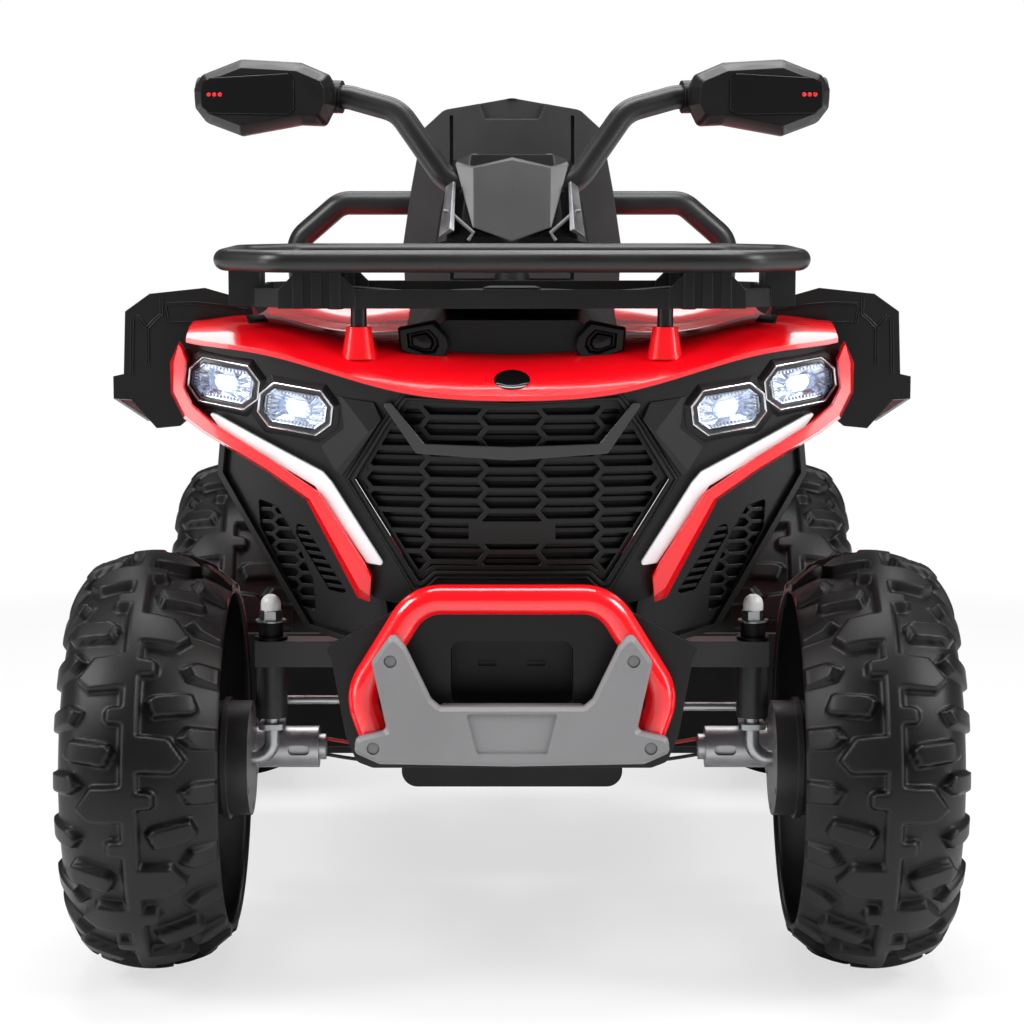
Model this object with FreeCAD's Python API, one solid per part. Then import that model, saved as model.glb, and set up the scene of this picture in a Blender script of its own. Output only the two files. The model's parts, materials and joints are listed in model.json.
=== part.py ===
import FreeCAD, Part
import math
import os

# Kids' quad bike in millimetres. X runs across it, the front faces -Y, Z is up, and the origin is on the
# floor, midway between the four wheels. The rider's left is +X.
# Heights written with up() are above the axle line; front() and back() measure along Y from the axles.

Vec = FreeCAD.Vector

# Stance
wheelbase = 740.0
overall_width = 744.0
tyre_diameter = 356.0
tyre_width = 136.0

# Clearances and walls
panel_gap = 0.4
running_gap = 0.06
moving_gap = 0.5
panel_wall = 4.0
corner_share = 0.45
straight = 0.001

# Tyres and rims
tyre_wall = 6.0
tyre_lug_height = 9.0
tyre_shoulder_drop = 17.0
tyre_shoulder_reach = 56.0
tyre_wall_reach = 44.0
tyre_bulge = (130.0, 135.0)
tyre_bulge_share = (0.7, 0.3)
tyre_lip_drop = 25.0
tread_pitches = 10
tread_rib = 13.0
tread_stagger = 0.37
tread_phase = 0.14
tread_foot = 120.0
tread_stand = 8.0
tread_edge = 67.0
tread_root = 4.0
tread_plans = [(0.00, [(tread_root, -16), (30, -14), (42, 5), (33, 16), (tread_root, 15)]),
               (0.34, [(tread_root, -7), (19, -7), (19, 7), (tread_root, 7)]),
               (0.62, [(13, -2), (18, -7), (46, -12), (52, 1), (48, 7), (18, 12)]),
               (0.33, [(39, -4), (48, -11), (tread_edge, -12), (tread_edge, 9), (45, 7)]),
               (0.86, [(38, 2), (45, -9), (tread_edge, -9), (tread_edge, 11), (47, 10)])]
rim_radius = 112.0
rim_lip = 8.0
rim_depth = 14.0
rim_dish = 12.0
rim_disc = 6.0
hub_radius = 24.0
wheel_windows = 5
window_inner = 42.0
window_outer = 92.0

# Front axle and steering
spindle_radius = 6.5
spindle_bend = 15.0
spindle_end_gap = 18.0
kingpin_inset = 31.0
beam_height = 22.0
beam_depth = 28.0
beam_wall = 2.5
beam_bottom = 81.0
beam_overhang = 13.0
sleeve_radius = 13.5
sleeve_length = 45.0
bush_radius = 10.5
bush_flange = 14.0
bush_length = 15.0
bush_flange_height = 2.5
nut_flats = 17.0
nut_height = 8.0
washer_height = 1.5
cap_radius = 8.5
cap_height = 14.0
steering_arm = 45.0
steering_arm_plate = 5.0
steering_arm_bottom = 25.5
pivot_pin = 4.0
tie_rod_radius = 4.0
tie_rod_eye = 9.0
tie_rod_eye_height = 5.0
tie_rod_bottom = 33.0
tie_rod_step = 6.0
open_pivot_gap = 2.5
column_radius = 6.5
column_rake = 26.0
column_setback = 8.0
crank_height = 52.0
crank_plate = 5.0
column_bush = 16.0

# Gearboxes and motors
gearbox_radius = 49.0
gearbox_length = 46.0
gearbox_sink = 14.0
rear_gearbox_radius = 45.0
rear_gearbox_inner = 154.0
rear_gearbox_length = 52.0
motor_radius = 18.0
motor_length = 54.0
motor_offset = 45.0
brush_boss = 6.0
lead_inset = 14.0
lead_radius = 1.6
lead_spread = 7.0
lead_bend = 150.0
lead_turns = [(131.0, 46.0, -6.0), (101.0, 54.0, -8.0), (85.0, 69.0, -3.0)]

# Frame and rear suspension
rail_x = 75.0
rail_size = 25.0
rail_wall = 2.0
rail_front = -75.0
rail_rear = 40.0
tub_half_width = 98.0
tub_floor = -45.0
tub_front = 85.0
swing_pivot_forward = 220.0
swing_pivot_height = 10.0
swing_arm_width = 22.0
swing_arm_height = 16.0
swing_tube = 11.0
pivot_bolt = 5.0
spring_seat_forward = 86.0
spring_seat_height = 26.0
spring_radius = 17.0
spring_wire = 2.6
spring_turns = 6

# Nose: the front panels follow a leaning cylinder
nose_radius = 460.0
nose_reach = 110.0
nose_height = 242.0
nose_lean = 6.0
nose_low = 60.0
nose_high = 420.0
sheet_reach = 200.0
hole_corner = 2.0
fascia_return = 30.0
lip_step = 1.0
duct_recess = 29.0

# Handlebar and pod
bar_radius = 11.0
bar_bend = 34.0
grip_radius = 16.0
pod_low = 432.0
pod_length = 80.0
button_radius = 7.5
button_height = 13.0
button_stands = 6.0
button_x = 34.0
guard_wall = 4.0
guard_depth = 36.0

# Rack
rack_tube = 9.0
rack_height = 426.0
rack_floor = 388.0
tray_wall = 4.0

# Derived places
axle_z = tyre_diameter / 2
front_y = -wheelbase / 2
rear_y = wheelbase / 2
half_width = overall_width / 2
tyre_inner_x = half_width - tyre_width
kingpin_x = tyre_inner_x - kingpin_inset
rake = math.radians(column_rake)
tyre_radius = tyre_diameter / 2
rail_bottom = beam_bottom + beam_height
rail_top = rail_bottom + rail_size

# Half outlines of the front panels, from the middle of the top edge round to the middle of the bottom edge:
# X, and height above the axle line
fascia_half = [(0, 318), (88, 323), (144, 337), (200, 350), (243, 355), (262, 357), (279, 345), (280, 318),
               (268, 296), (218, 266), (163, 237), (150, 217), (113, 152), (85, 146), (0, 146)]
grille_half = [(0, 312), (84, 316), (101, 294), (127, 250), (75, 166), (63, 176), (0, 176.4)]
plate_half = [(0, 217), (35, 217), (35, 198), (0, 198)]
gloss_bar = [(0, 279), (70, 281), (97, 314), (104, 313), (77, 273), (0, 268)]
trim_side = [(277, 359), (286, 333), (285, 316), (273, 293), (221, 261), (167, 232), (154, 216), (117, 150),
             (101, 177), (145, 221), (161, 243), (241, 287), (262, 304), (272, 322), (271, 346)]
light_bar_side = [(250, 301), (242, 299), (153, 256), (146, 248), (103, 180), (118, 182), (160, 244), (240, 288)]
duct_side = [(248, 246), (243, 290), (160, 250), (105, 155), (100, 120), (104, 101), (172, 118)]
duct_mesh_side = [(212, 226), (196, 221), (181, 196), (166, 160), (164, 133), (178, 138), (211, 203)]
duct_louvre_side = [(179, 207), (172, 205), (136, 149), (152, 152), (180, 199)]
lamp_centres = [(237, 325), (176, 306.5)]
lamp_size = (62.0, 37.0)
lamp_cut = 11.0
lamp_turn = 8.0
lamp_rim = 4.0
lamp_depth = 22.0
lamp_proud = 3.0
lamp_floor = 8.0
lamp_lip = 1.5
lamp_corner = 3.0
bracket_half = [(0, 150), (92, 150), (150, 119), (145, 111), (134, 48), (125, 26), (112, 21), (0, 21)]
recess_half = [(0, 124), (45, 124), (49, 118), (49, 76), (45, 72), (0, 72)]
skid_half = [(0, 77), (57, 77), (64, 83), (84, 125), (94, 137), (111, 113), (99, 58), (124, 52), (125, 40),
             (105, 31), (0, 29)]
skid_panel_half = [(0, 72), (36, 72), (28, 40), (0, 40)]
skid_bolts = [(96, 114), (110, 44)]
bumper_half = [(0, 160), (75, 160), (122, 84), (107, 42)]


# Handlebar, guards and pod, from the pod's middle and the axle line
bar_centre = 474.0
bar_reach = 286.0
bar_points = [(58, -4, 488), (104, 14, 553), (150, 26, 566), (bar_reach, 50, 569)]
guard_outline = [(290, 573), (282, 586), (246, 600), (193, 597), (167, 586), (161, 575), (161, 557), (170, 539),
                 (192, 540), (247, 530), (279, 542), (289, 555)]
insert_outline = [(281, 577), (272, 582), (202, 586), (197, 580), (197, 553), (203, 549), (274, 550), (281, 556)]
tank_exit = 396.0
pod_front = -22.0
pod_rear = 40.0
pod_top_half = 54.0
pod_low_half = 70.0
cap_low_half = 38.0
cap_ridge = 9.0

# Honeycomb, slats and louvres
cell_pitch = 46.8
cell_tip = 7.0
cell_height = 17.0
cell_rib = 4.2
slat_pitch = 8.5
slat_height = 4.2
grille_rim = 4.0
grille_proud = -4.0
grille_ribs = 7.0
slat_step = 0.2
slat_depth = 4.5
back_step = 1.0
back_depth = 3.0
louvre_pitch = 6.4
louvre_gap = 3.4
louvre_fins = 9

# Hood, cowl and tank: stations of X with Y from the front axle and height above the axle line
hood_stations = [(0, [(-126, 320), (-96, 338), (-50, 350), (150, 372)]),
                 (88, [(-118, 326), (-88, 344), (-45, 357), (150, 376)]),
                 (144, [(-105, 340), (-78, 355), (-40, 364), (150, 379)]),
                 (200, [(-84, 354), (-55, 366), (-20, 373), (150, 382)]),
                 (243, [(-62, 359), (-38, 368), (-5, 374), (150, 380)]),
                 (268, [(-47, 362), (-28, 368), (0, 372), (150, 376)])]
hood_wing_x = 216.0
hood_wing_y = 24.0
hood_rear_height = 378.6
cowl_half = 91.0
cowl_front = -56.0
post_x = 124.0
post_y = -80.0
post_radius = 6.5
boss_top = 373.0
tank_stations = [(cowl_front, 91, 344, 54, 377), (100, 91, 350, 60, 382), (185, 95, 352, 56, 402),
                 (252, 97, 300, 62, 342), (310, 98, 222, 72, 262)]

# Rack and bumper
rack_front = -100.0
rack_rear = 130.0
rack_half = 236.0
rack_corner = 46.0
tray_half = 212.0
tray_rear = 112.0
tray_rim = 15.0
pillar_x = 157.0
pillar_half = 19.0
pillar_gusset = 12.0
pillar_plate = 5.0
pillar_rib = 8.0
pillar_stands = 2.5
bumper_face = -135.0
bumper_tube = 12.0
stand_front = -92.0

# Rear arm, tub, seat and backrest
swing_pivot_y = rear_y - swing_pivot_forward
hanger_x = 64.0
arm_x = 48.0
tub_length = 410.0
body_rear = 5.0
seat_base = 228.0
seat_draft = 16.0
tank_end = front_y + 310.0
backrest_half = [(0, 579), (74, 566), (98, 544), (110, 480), (119, 420), (112, 250), (0, 250)]
backrest_y = rear_y - 48.0
backrest_depth = 44.0

# Flares and fenders
flare_inner = 219.5
flare_outline = [(flare_inner, 378), (flare_inner + 2, 389), (260, 400), (307, 395), (328, 380), (330, 327),
                 (339, 325), (339, 306), (324, 305), (303, 281), (283, 283), (262, 300)]
rear_flare_shift = Vec(18, wheelbase - 150, -35)
fender_stations = [(98.6, [(-185, 232), (-110, 232), (50, 232), (135, 232)]),
                   (114, [(-185, 234), (-110, 234), (50, 234), (135, 234)]),
                   (128, [(-185, 300), (-118, 350), (50, 356), (135, 322)]),
                   (190, [(-185, 306), (-118, 362), (50, 368), (135, 330)]),
                   (flare_inner + rear_flare_shift.x - panel_gap, [(-182, 298), (-118, 356), (50, 360), (135, 324)])]

# Footboards, pedal and side panels
foot_front = 225.0
foot_rear = -205.0
foot_reach = 300.0
pedal_x = 190.0
pedal_y = -30.0
pedal_half = 28.0
side_panel_depth = 13.0

# Plane of an outline, by the way it is looked at
normals = {"front": Vec(0, 1, 0), "side": Vec(1, 0, 0), "plan": Vec(0, 0, 1)}


def up(height):
    """Height of a point that is measured above the axle line."""
    return axle_z + height


def front(y):
    """Place along Y of a point that is measured from the front axle."""
    return front_y + y


def back(y):
    """Place along Y of a point that is measured from the rear axle."""
    return rear_y + y


def lifted(points):
    """Front view points, with heights above the axle line made heights above the floor."""
    return [(x, up(h)) for x, h in points]


def both(half):
    """Whole outline from its +X half, which runs from the middle line round to the middle line."""
    return half + [(-u, v) for u, v in reversed(half) if u != 0]


def vec(plane, at, u, v):
    """Point of a flat drawing: front is X and Z, side is Y and Z, plan is X and Y."""
    if plane == "front":
        return Vec(u, at, v)
    if plane == "side":
        return Vec(at, u, v)
    return Vec(u, v, at)


def unit(v):
    """The same direction with a length of 1."""
    return v * (1.0 / v.Length)


def corner(before, point, after, radius):
    """Start, middle and end of the tangent arc that rounds one corner, as far as its sides allow."""
    a = unit(before - point)
    b = unit(after - point)
    if radius == 0 or (a + b).Length < straight:
        return point, None, point
    half = math.acos(max(-1.0, min(1.0, a.dot(b)))) / 2
    room = corner_share * min((before - point).Length, (after - point).Length)
    reach = min(radius / math.tan(half), room)
    arc = reach * math.tan(half)
    middle = point + unit(a + b) * (arc / math.sin(half) - arc)
    return point + a * reach, middle, point + b * reach


def path(points, radius, closed=False):
    """Wire of straight runs joined by tangent arcs."""
    count = len(points)
    turns = []
    for i, point in enumerate(points):
        if not closed and i in (0, count - 1):
            turns.append((point, None, point))
        else:
            turns.append(corner(points[i - 1], point, points[(i + 1) % count], radius))
    edges = []
    for i, (start, middle, end) in enumerate(turns):
        if middle is not None:
            edges.append(Part.Arc(start, middle, end).toShape())
        if i + 1 < count or closed:
            edges.append(Part.LineSegment(end, turns[(i + 1) % count][0]).toShape())
    return Part.Wire(edges)


def outline(points, plane, at, radius=0.0):
    """Closed outline of a flat drawing."""
    return path([vec(plane, at, u, v) for u, v in points], radius, True)


def prism(points, plane, low, high, radius=0.0):
    """Solid between two parallel planes, with the outline of a flat drawing."""
    face = Part.Face(outline(points, plane, low, radius))
    return face.extrude(normals[plane] * (high - low))


def inset(points, distance):
    """Outline moved inwards by a distance, or outwards where the distance is below zero."""
    count = len(points)
    area = sum(points[i - 1][0] * points[i][1] - points[i][0] * points[i - 1][1] for i in range(count))
    side = distance if area > 0 else -distance
    moved = []
    for i in range(count):
        (ax, ay), (px, py), (bx, by) = points[i - 1], points[i], points[(i + 1) % count]
        before = math.hypot(px - ax, py - ay)
        after = math.hypot(bx - px, by - py)
        n0 = (-(py - ay) / before, (px - ax) / before)
        n1 = (-(by - py) / after, (bx - px) / after)
        share = side / (1 + n0[0] * n1[0] + n0[1] * n1[1])
        moved.append((px + (n0[0] + n1[0]) * share, py + (n0[1] + n1[1]) * share))
    return moved


def box(x0, x1, y0, y1, z0, z1):
    """Block between six planes."""
    return Part.makeBox(x1 - x0, y1 - y0, z1 - z0, Vec(x0, y0, z0))


def rod(start, end, radius):
    """Round bar between two points."""
    run = end - start
    return Part.makeCylinder(radius, run.Length, start, run)


def ring(start, end, outer, inner):
    """Straight pipe between two points."""
    return rod(start, end, outer).cut(rod(start, end, inner))


def bends(points, radius):
    """Radius of each bend of a path, rounded."""
    found = []
    for i in range(1, len(points) - 1):
        begin, middle, end = corner(points[i - 1], points[i], points[i + 1], radius)
        found.append(round(Part.Arc(begin, middle, end).toShape().Curve.Radius, 1))
    return found


def tube(points, radius, bend):
    """Round bar along straight runs and tangent bends."""
    circle = Part.Wire(Part.Circle(points[0], points[1] - points[0], radius).toShape())
    return path(points, bend).makePipeShell([circle], True, False)


def hexagon(centre_u, centre_v, flats):
    """Hexagon of a given size across its flats."""
    reach = flats / 2 / math.cos(math.pi / 6)
    return [(centre_u + reach * math.cos(math.pi / 3 * i), centre_v + reach * math.sin(math.pi / 3 * i))
            for i in range(6)]


def loft(sections, ruled):
    """Solid through a row of closed sections."""
    return Part.makeLoft(sections, True, ruled)


def join(first, *others):
    """One solid from pieces that are moulded or welded together."""
    return first.multiFuse(list(others)).removeSplitter()


def flip(shape):
    """The same piece on the other side of the machine."""
    return shape.mirror(Vec(0, 0, 0), Vec(1, 0, 0))


def pair(shape):
    """A piece and its mirror image, as two solids."""
    return Part.makeCompound([shape, flip(shape)])


def save(name, shape):
    """One file for each named piece."""
    shape.exportStep("parts/" + name + ".step")


def on_column(height):
    """Point of the steering axis at a height above the axle line."""
    return Vec(0, front(column_setback) + (height - crank_height) * math.tan(rake), up(height))


# Wheels are drawn on the X axis, with X counted from the inner face of the tyre

def turned(edges):
    """Solid of revolution about the axle."""
    return Part.Face(Part.Wire(edges)).revolve(Vec(0, 0, 0), Vec(1, 0, 0), 360)


def line(a, b):
    """Straight edge between two points."""
    return Part.LineSegment(a, b).toShape()


def crown_drop(reach):
    """Fall of the round tread at a distance from its middle."""
    radius = (tyre_shoulder_reach ** 2 + tyre_shoulder_drop ** 2) / (2 * tyre_shoulder_drop)
    return radius - math.sqrt(radius ** 2 - reach ** 2)


def tyre_line(stand):
    """Edges of the tyre's skin from the lip to the bead, raised by a height above the carcass."""
    middle = tyre_width / 2
    crown = tyre_radius - tyre_lug_height + stand
    lip = Vec(0, 0, crown - tyre_lip_drop)
    shoulder = Vec(middle - tyre_shoulder_reach, 0, crown - tyre_shoulder_drop)
    top = Vec(middle, 0, crown)
    wall = Vec(middle + tyre_wall_reach, 0, crown - crown_drop(tyre_wall_reach))
    bulge = Vec(tyre_bulge[0] + stand * tyre_bulge_share[0], 0, tyre_bulge[1] + stand * tyre_bulge_share[1])
    bead = Vec(tyre_width - rim_lip + min(stand, 0), 0, rim_radius)
    return [line(lip, shoulder), Part.Arc(shoulder, top, wall).toShape(), Part.Arc(wall, bulge, bead).toShape()], lip, bead


def carcass():
    """Hollow tyre: an open lip inside, a crowned tread and an outer wall that ends on the rim."""
    outer, lip_outer, bead_outer = tyre_line(0)
    inner, lip_inner, bead_inner = tyre_line(-tyre_wall)
    return turned(outer + [line(bead_outer, bead_inner)] + inner[::-1] + [line(lip_inner, lip_outer)])


def tread_layer():
    """Layer that the lugs are cut from: the middle of the wall to their worn surface."""
    layers = []
    for stand in (tread_stand, -tyre_wall / 2):
        skin, lip, bead = tyre_line(stand)
        ends = [Vec(bead.x, 0, hub_radius), Vec(0, 0, hub_radius)]
        layers.append(turned(skin + [line(bead, ends[0]), line(ends[0], ends[1]), line(ends[1], lip)]))
    return layers[0].cut(layers[1])


def lug(points, turn, layer):
    """One tread lug: a plan of distance from the centre rib and distance round the tyre, cut from the tread layer."""
    middle = tyre_width / 2
    block = prism([(middle + u, v) for u, v in points], "plan", tread_foot, tyre_radius + 1)
    block = block.common(layer)
    block.rotate(Vec(0, 0, 0), Vec(1, 0, 0), turn)
    return block


def tyre():
    """Carcass, centre rib and lugs, moulded as one."""
    half_rib = tread_rib / 2
    layer = tread_layer()
    pitch = 360.0 / tread_pitches
    lugs = []
    for side, stagger in ((1, tread_stagger), (-1, 0.0)):
        for place, points in tread_plans:
            sided = [(side * u, -v) for u, v in points]
            first = lug(sided, pitch * (place + stagger + tread_phase), layer)
            for i in range(tread_pitches):
                copy = first.copy()
                copy.rotate(Vec(0, 0, 0), Vec(1, 0, 0), pitch * i)
                lugs.append(copy)
    middle = tyre_width / 2
    foot = tyre_radius - tyre_lug_height - tyre_wall / 2
    rib = ring(Vec(middle - half_rib, 0, 0), Vec(middle + half_rib, 0, 0), tyre_radius, foot)
    return carcass().multiFuse([rib] + lugs)


def rim(hub_start):
    """Dished disc with windows, a bead seat for the tyre and a closed hub with a blind bore."""
    bore = spindle_radius + running_gap
    seat_in = tyre_width - rim_lip - rim_depth
    seat_out = tyre_width - rim_lip
    bore_end = tyre_width - spindle_end_gap + 2
    disc = seat_in - rim_dish
    profile = [(hub_start, bore), (hub_start, hub_radius), (disc, hub_radius), (seat_in, rim_radius - 9),
               (seat_in, rim_radius), (seat_out, rim_radius), (seat_out, rim_radius - 6),
               (seat_in + rim_disc, rim_radius - 13), (disc + rim_disc, hub_radius + 8),
               (seat_out - 3, hub_radius - 1), (seat_out, hub_radius - 7), (seat_out, 0), (bore_end, 0),
               (bore_end, bore)]
    points = [Vec(x, 0, r) for x, r in profile]
    edges = [line(points[i], points[(i + 1) % len(points)]) for i in range(len(points))]
    disc_solid = turned(edges)
    spread = math.radians(360.0 / wheel_windows / 2 - 14)
    inner = [(window_inner * math.sin(a), window_inner * math.cos(a)) for a in (-spread * 0.8, spread * 0.8)]
    outer = [(window_outer * math.sin(a), window_outer * math.cos(a)) for a in (spread, -spread)]
    for i in range(wheel_windows):
        window = prism(inner + outer, "side", 0, tyre_width, 9.0)
        window.rotate(Vec(0, 0, 0), Vec(1, 0, 0), 360.0 / wheel_windows * i)
        disc_solid = disc_solid.cut(window)
    return disc_solid


def wheels():
    """Four tyres and four rims; the rear hubs reach further in, to their gearboxes."""
    tread = tyre()
    front_hub = gearbox_length - gearbox_sink + moving_gap
    rear_hub = rear_gearbox_inner + rear_gearbox_length + moving_gap - tyre_inner_x
    for end, y, hub in (("front", front_y, front_hub), ("rear", rear_y, rear_hub)):
        disc = rim(hub)
        for name, shape in (("tyre", tread), ("rim", disc)):
            placed = shape.copy()
            placed.translate(Vec(tyre_inner_x, y, axle_z))
            save(name + "_" + end + "_left", placed)
            save(name + "_" + end + "_right", flip(placed))


# Front axle

def front_beam():
    """Box beam with a welded sleeve under each end for the kingpin."""
    reach = kingpin_x + beam_overhang
    half = beam_depth / 2
    low = up(beam_bottom)
    high = low + beam_height
    beam = box(-reach, reach, front(-half), front(half), low, high)
    beam = beam.cut(box(-reach, reach, front(-half + beam_wall), front(half - beam_wall),
                        low + beam_wall, high - beam_wall))
    for x in (-kingpin_x, kingpin_x):
        foot = Vec(x, front_y, low - sleeve_length)
        beam = beam.fuse(rod(foot, Vec(x, front_y, low + beam_wall / 2), sleeve_radius))
        beam = beam.cut(rod(foot, Vec(x, front_y, high), spindle_radius + running_gap))
    save("front_axle_beam", beam)


def bushes():
    """Flanged bush on top of each kingpin, the lower column plate and the upper column collar."""
    low = up(beam_bottom) + beam_height
    top = low + bush_length
    foot = Vec(kingpin_x, front_y, low)
    head = Vec(kingpin_x, front_y, top)
    lip = Vec(kingpin_x, front_y, low + bush_flange_height)
    bush = join(rod(foot, head, bush_radius), rod(foot, lip, bush_flange))
    bush = bush.cut(rod(foot, head, spindle_radius + running_gap))
    plate_y = on_column(rail_top).y
    plate_reach = rail_x + rail_size / 4
    bolt_land = 24.0
    plate = prism([(-plate_reach, plate_y - bolt_land), (plate_reach, plate_y - bolt_land),
                   (plate_reach, plate_y + bolt_land), (-plate_reach, plate_y + bolt_land)],
                  "plan", up(rail_top), up(rail_top) + panel_wall, 8.0)
    collar = rod(on_column(rail_top + 2), on_column(rail_top + 24), column_bush)
    lower = join(plate, collar).cut(rod(on_column(0), on_column(rail_top + 60), column_radius + running_gap))
    upper = ring(on_column(tank_exit - 9), on_column(tank_exit + 8), column_bush, column_radius + running_gap)
    save("steering_bushes", Part.makeCompound([bush, flip(bush), lower, upper]))


def knuckles():
    """Bent spindle with its steering arm and pin, held up by a washer, a nut and a domed cap."""
    stack = up(beam_bottom) + beam_height + bush_length + panel_gap / 2
    top = stack + washer_height + nut_height
    axle_end = half_width - spindle_end_gap
    spine = [Vec(kingpin_x, front_y, top), Vec(kingpin_x, front_y, axle_z), Vec(axle_end, front_y, axle_z)]
    spindle = tube(spine, spindle_radius, spindle_bend)
    low = up(steering_arm_bottom)
    pin = Vec(kingpin_x, front(steering_arm), low)
    arm = [(kingpin_x - 12, front(-10)), (kingpin_x + 12, front(-10)), (kingpin_x + 8, front(steering_arm + 8)),
           (kingpin_x - 8, front(steering_arm + 8))]
    plate = prism(arm, "plan", low, low + steering_arm_plate, 7.0)
    pin_top = Vec(pin.x, pin.y, up(tie_rod_bottom + tie_rod_step * 2 + 3))
    spindle = join(spindle, plate, rod(pin, pin_top, pivot_pin))
    foot = Vec(kingpin_x, front_y, stack)
    ledge = Vec(kingpin_x, front_y, stack + washer_height)
    crown = Vec(kingpin_x, front_y, top)
    hole = spindle_radius + running_gap
    washer = ring(foot, ledge, bush_flange - 1, hole)
    nut = prism(hexagon(kingpin_x, front_y, nut_flats), "plan", ledge.z, top).cut(rod(foot, crown, hole))
    dome_low = cap_height - cap_radius
    cap = rod(crown, crown + Vec(0, 0, dome_low), cap_radius)
    cap = cap.fuse(Part.makeSphere(cap_radius, crown + Vec(0, 0, dome_low), Vec(0, 0, 1), 0, 90, 360))
    group = Part.makeCompound([spindle, washer, nut, cap])
    save("spindle_left", group)
    save("spindle_right", flip(group))


def front_drives():
    """Gearbox on the spindle, with the motor behind the kingpin and its two leads to the floor tub."""
    start = tyre_inner_x - gearbox_sink
    end = start + gearbox_length
    motor_y = front(motor_offset)
    case = rod(Vec(start, front_y, axle_z), Vec(end, front_y, axle_z), gearbox_radius)
    cradle = rod(Vec(start, motor_y, axle_z), Vec(start + 14, motor_y, axle_z), motor_radius + 6)
    flange = rod(Vec(start + 18, front_y, axle_z), Vec(start + 23, front_y, axle_z), gearbox_radius + 3)
    case = join(case, cradle, flange)
    for i in range(6):
        turn = math.radians(60 * i + 30)
        y = front_y + (gearbox_radius - 7) * math.cos(turn)
        z = axle_z + (gearbox_radius - 7) * math.sin(turn)
        case = case.cut(rod(Vec(start, y, z), Vec(start + 5, y, z), 3.2))
    case = case.cut(rod(Vec(start, front_y, axle_z), Vec(end, front_y, axle_z), spindle_radius + running_gap))
    drive = Part.makeCompound([case, motor(start - motor_length, start, motor_y)])
    save("front_drive_left", drive)
    save("front_drive_right", flip(drive))
    brush_end = start - motor_length - brush_boss
    leads = []
    for rise in (-lead_spread, lead_spread):
        points = [Vec(brush_end - panel_gap, motor_y, axle_z + rise)]
        points = points + [Vec(x, front(y), axle_z + rise + h) for x, y, h in lead_turns]
        points.append(Vec(tub_half_width - lead_inset, front(tub_front) - panel_gap / 4, axle_z + rise))
        leads.append(tube(points, lead_radius, lead_bend))
    print("lead bends in mm:", bends(points, lead_bend))
    group = Part.makeCompound(leads)
    save("motor_leads_left", group)
    save("motor_leads_right", flip(group))


def motor(inner, outer, y):
    """Motor can with two cooling slots, a brush-end boss and its back plate."""
    can = rod(Vec(inner, y, axle_z), Vec(outer, y, axle_z), motor_radius)
    boss = rod(Vec(inner - brush_boss, y, axle_z), Vec(inner, y, axle_z), motor_radius * 0.62)
    can = join(can, boss)
    slot = prism([(inner + 8, axle_z - 4), (inner + 26, axle_z - 4), (inner + 26, axle_z + 4),
                  (inner + 8, axle_z + 4)], "front", y - motor_radius - 1, y - motor_radius + 5, 3.9)
    return can.cut(slot)


def tie_rods():
    """Two rods that share the crank pin, one above the other, each with an eye at both ends."""
    pin_y = front(steering_arm)
    for name, side, level in (("tie_rod_left", 1, 0), ("tie_rod_right", -1, 1)):
        low = up(tie_rod_bottom + tie_rod_step * level)
        middle = low + tie_rod_eye_height / 2
        outer = Vec(kingpin_x * side, pin_y, low)
        inner = Vec(0, pin_y, low)
        rise = Vec(0, 0, tie_rod_eye_height)
        open_eye = pivot_pin + open_pivot_gap
        bar = rod(Vec(kingpin_x * side - side * 7, pin_y, middle), Vec(side * (open_eye + 2), pin_y, middle),
                  tie_rod_radius)
        bar = bar.common(box(-kingpin_x, kingpin_x, pin_y - 9, pin_y + 9, low - 1, low + tie_rod_eye_height + 1))
        link = join(bar, rod(outer, outer + rise, tie_rod_eye), rod(inner, inner + rise, open_eye + 4))
        link = link.cut(rod(outer - rise, outer + rise * 2, pivot_pin + running_gap))
        link = link.cut(rod(inner - rise, inner + rise * 2, open_eye))
        save(name, link)


def column():
    """Steering rod up the rake, with a crank plate and pin at its foot."""
    foot = on_column(crank_height)
    bar_low = up(bar_centre) - bar_radius
    head = on_column(bar_centre)
    shaft = rod(foot, head, column_radius)
    pin_y = front(steering_arm)
    low = up(crank_height) - crank_plate / 2
    plate = prism([(-11, foot.y - 12), (11, foot.y - 12), (9, pin_y + 9), (-9, pin_y + 9)], "plan",
                  low, low + crank_plate, 8.0)
    pin = rod(Vec(0, pin_y, up(tie_rod_bottom) - 3), Vec(0, pin_y, low + 1), pivot_pin)
    shaft = shaft.cut(box(-20, 20, foot.y - 60, foot.y + 60, bar_low - 900, low))
    shaft = join(shaft, plate, pin)
    save("steering_column", shaft.cut(handlebar_solid(0.0)))


# Handlebar, pod and hand guards


def bar_place(x, y, height):
    """Point of the handlebar; Y is counted from the steering axis at the bar's centre."""
    return Vec(x, on_column(bar_centre).y + y, up(height))


def handlebar_solid(gap):
    """Bent bar from grip to grip, fattened by a gap where it is used as a cutter."""
    right = [bar_place(*p) for p in bar_points]
    left = [Vec(-p.x, p.y, p.z) for p in reversed(right)]
    return tube(left + [bar_place(0, -4, bar_centre)] + right, bar_radius + gap, bar_bend)


def handlebar():
    """Handlebar and its two grips."""
    save("handlebar", handlebar_solid(0.0))
    end = bar_place(*bar_points[3])
    run = unit(end - bar_place(*bar_points[2]))
    start = end - run * 98
    grip = rod(start, end + run * 4, grip_radius)
    for i in range(9):
        ridge = start + run * (10 + 9.5 * i)
        grip = grip.fuse(rod(ridge, ridge + run * 4, grip_radius + 1.2))
    grip = grip.fuse(rod(start - run * 5, start, grip_radius + 4))
    grip = grip.cut(rod(start - run * 6, end, bar_radius + running_gap))
    save("grips", pair(grip.removeSplitter()))


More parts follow.
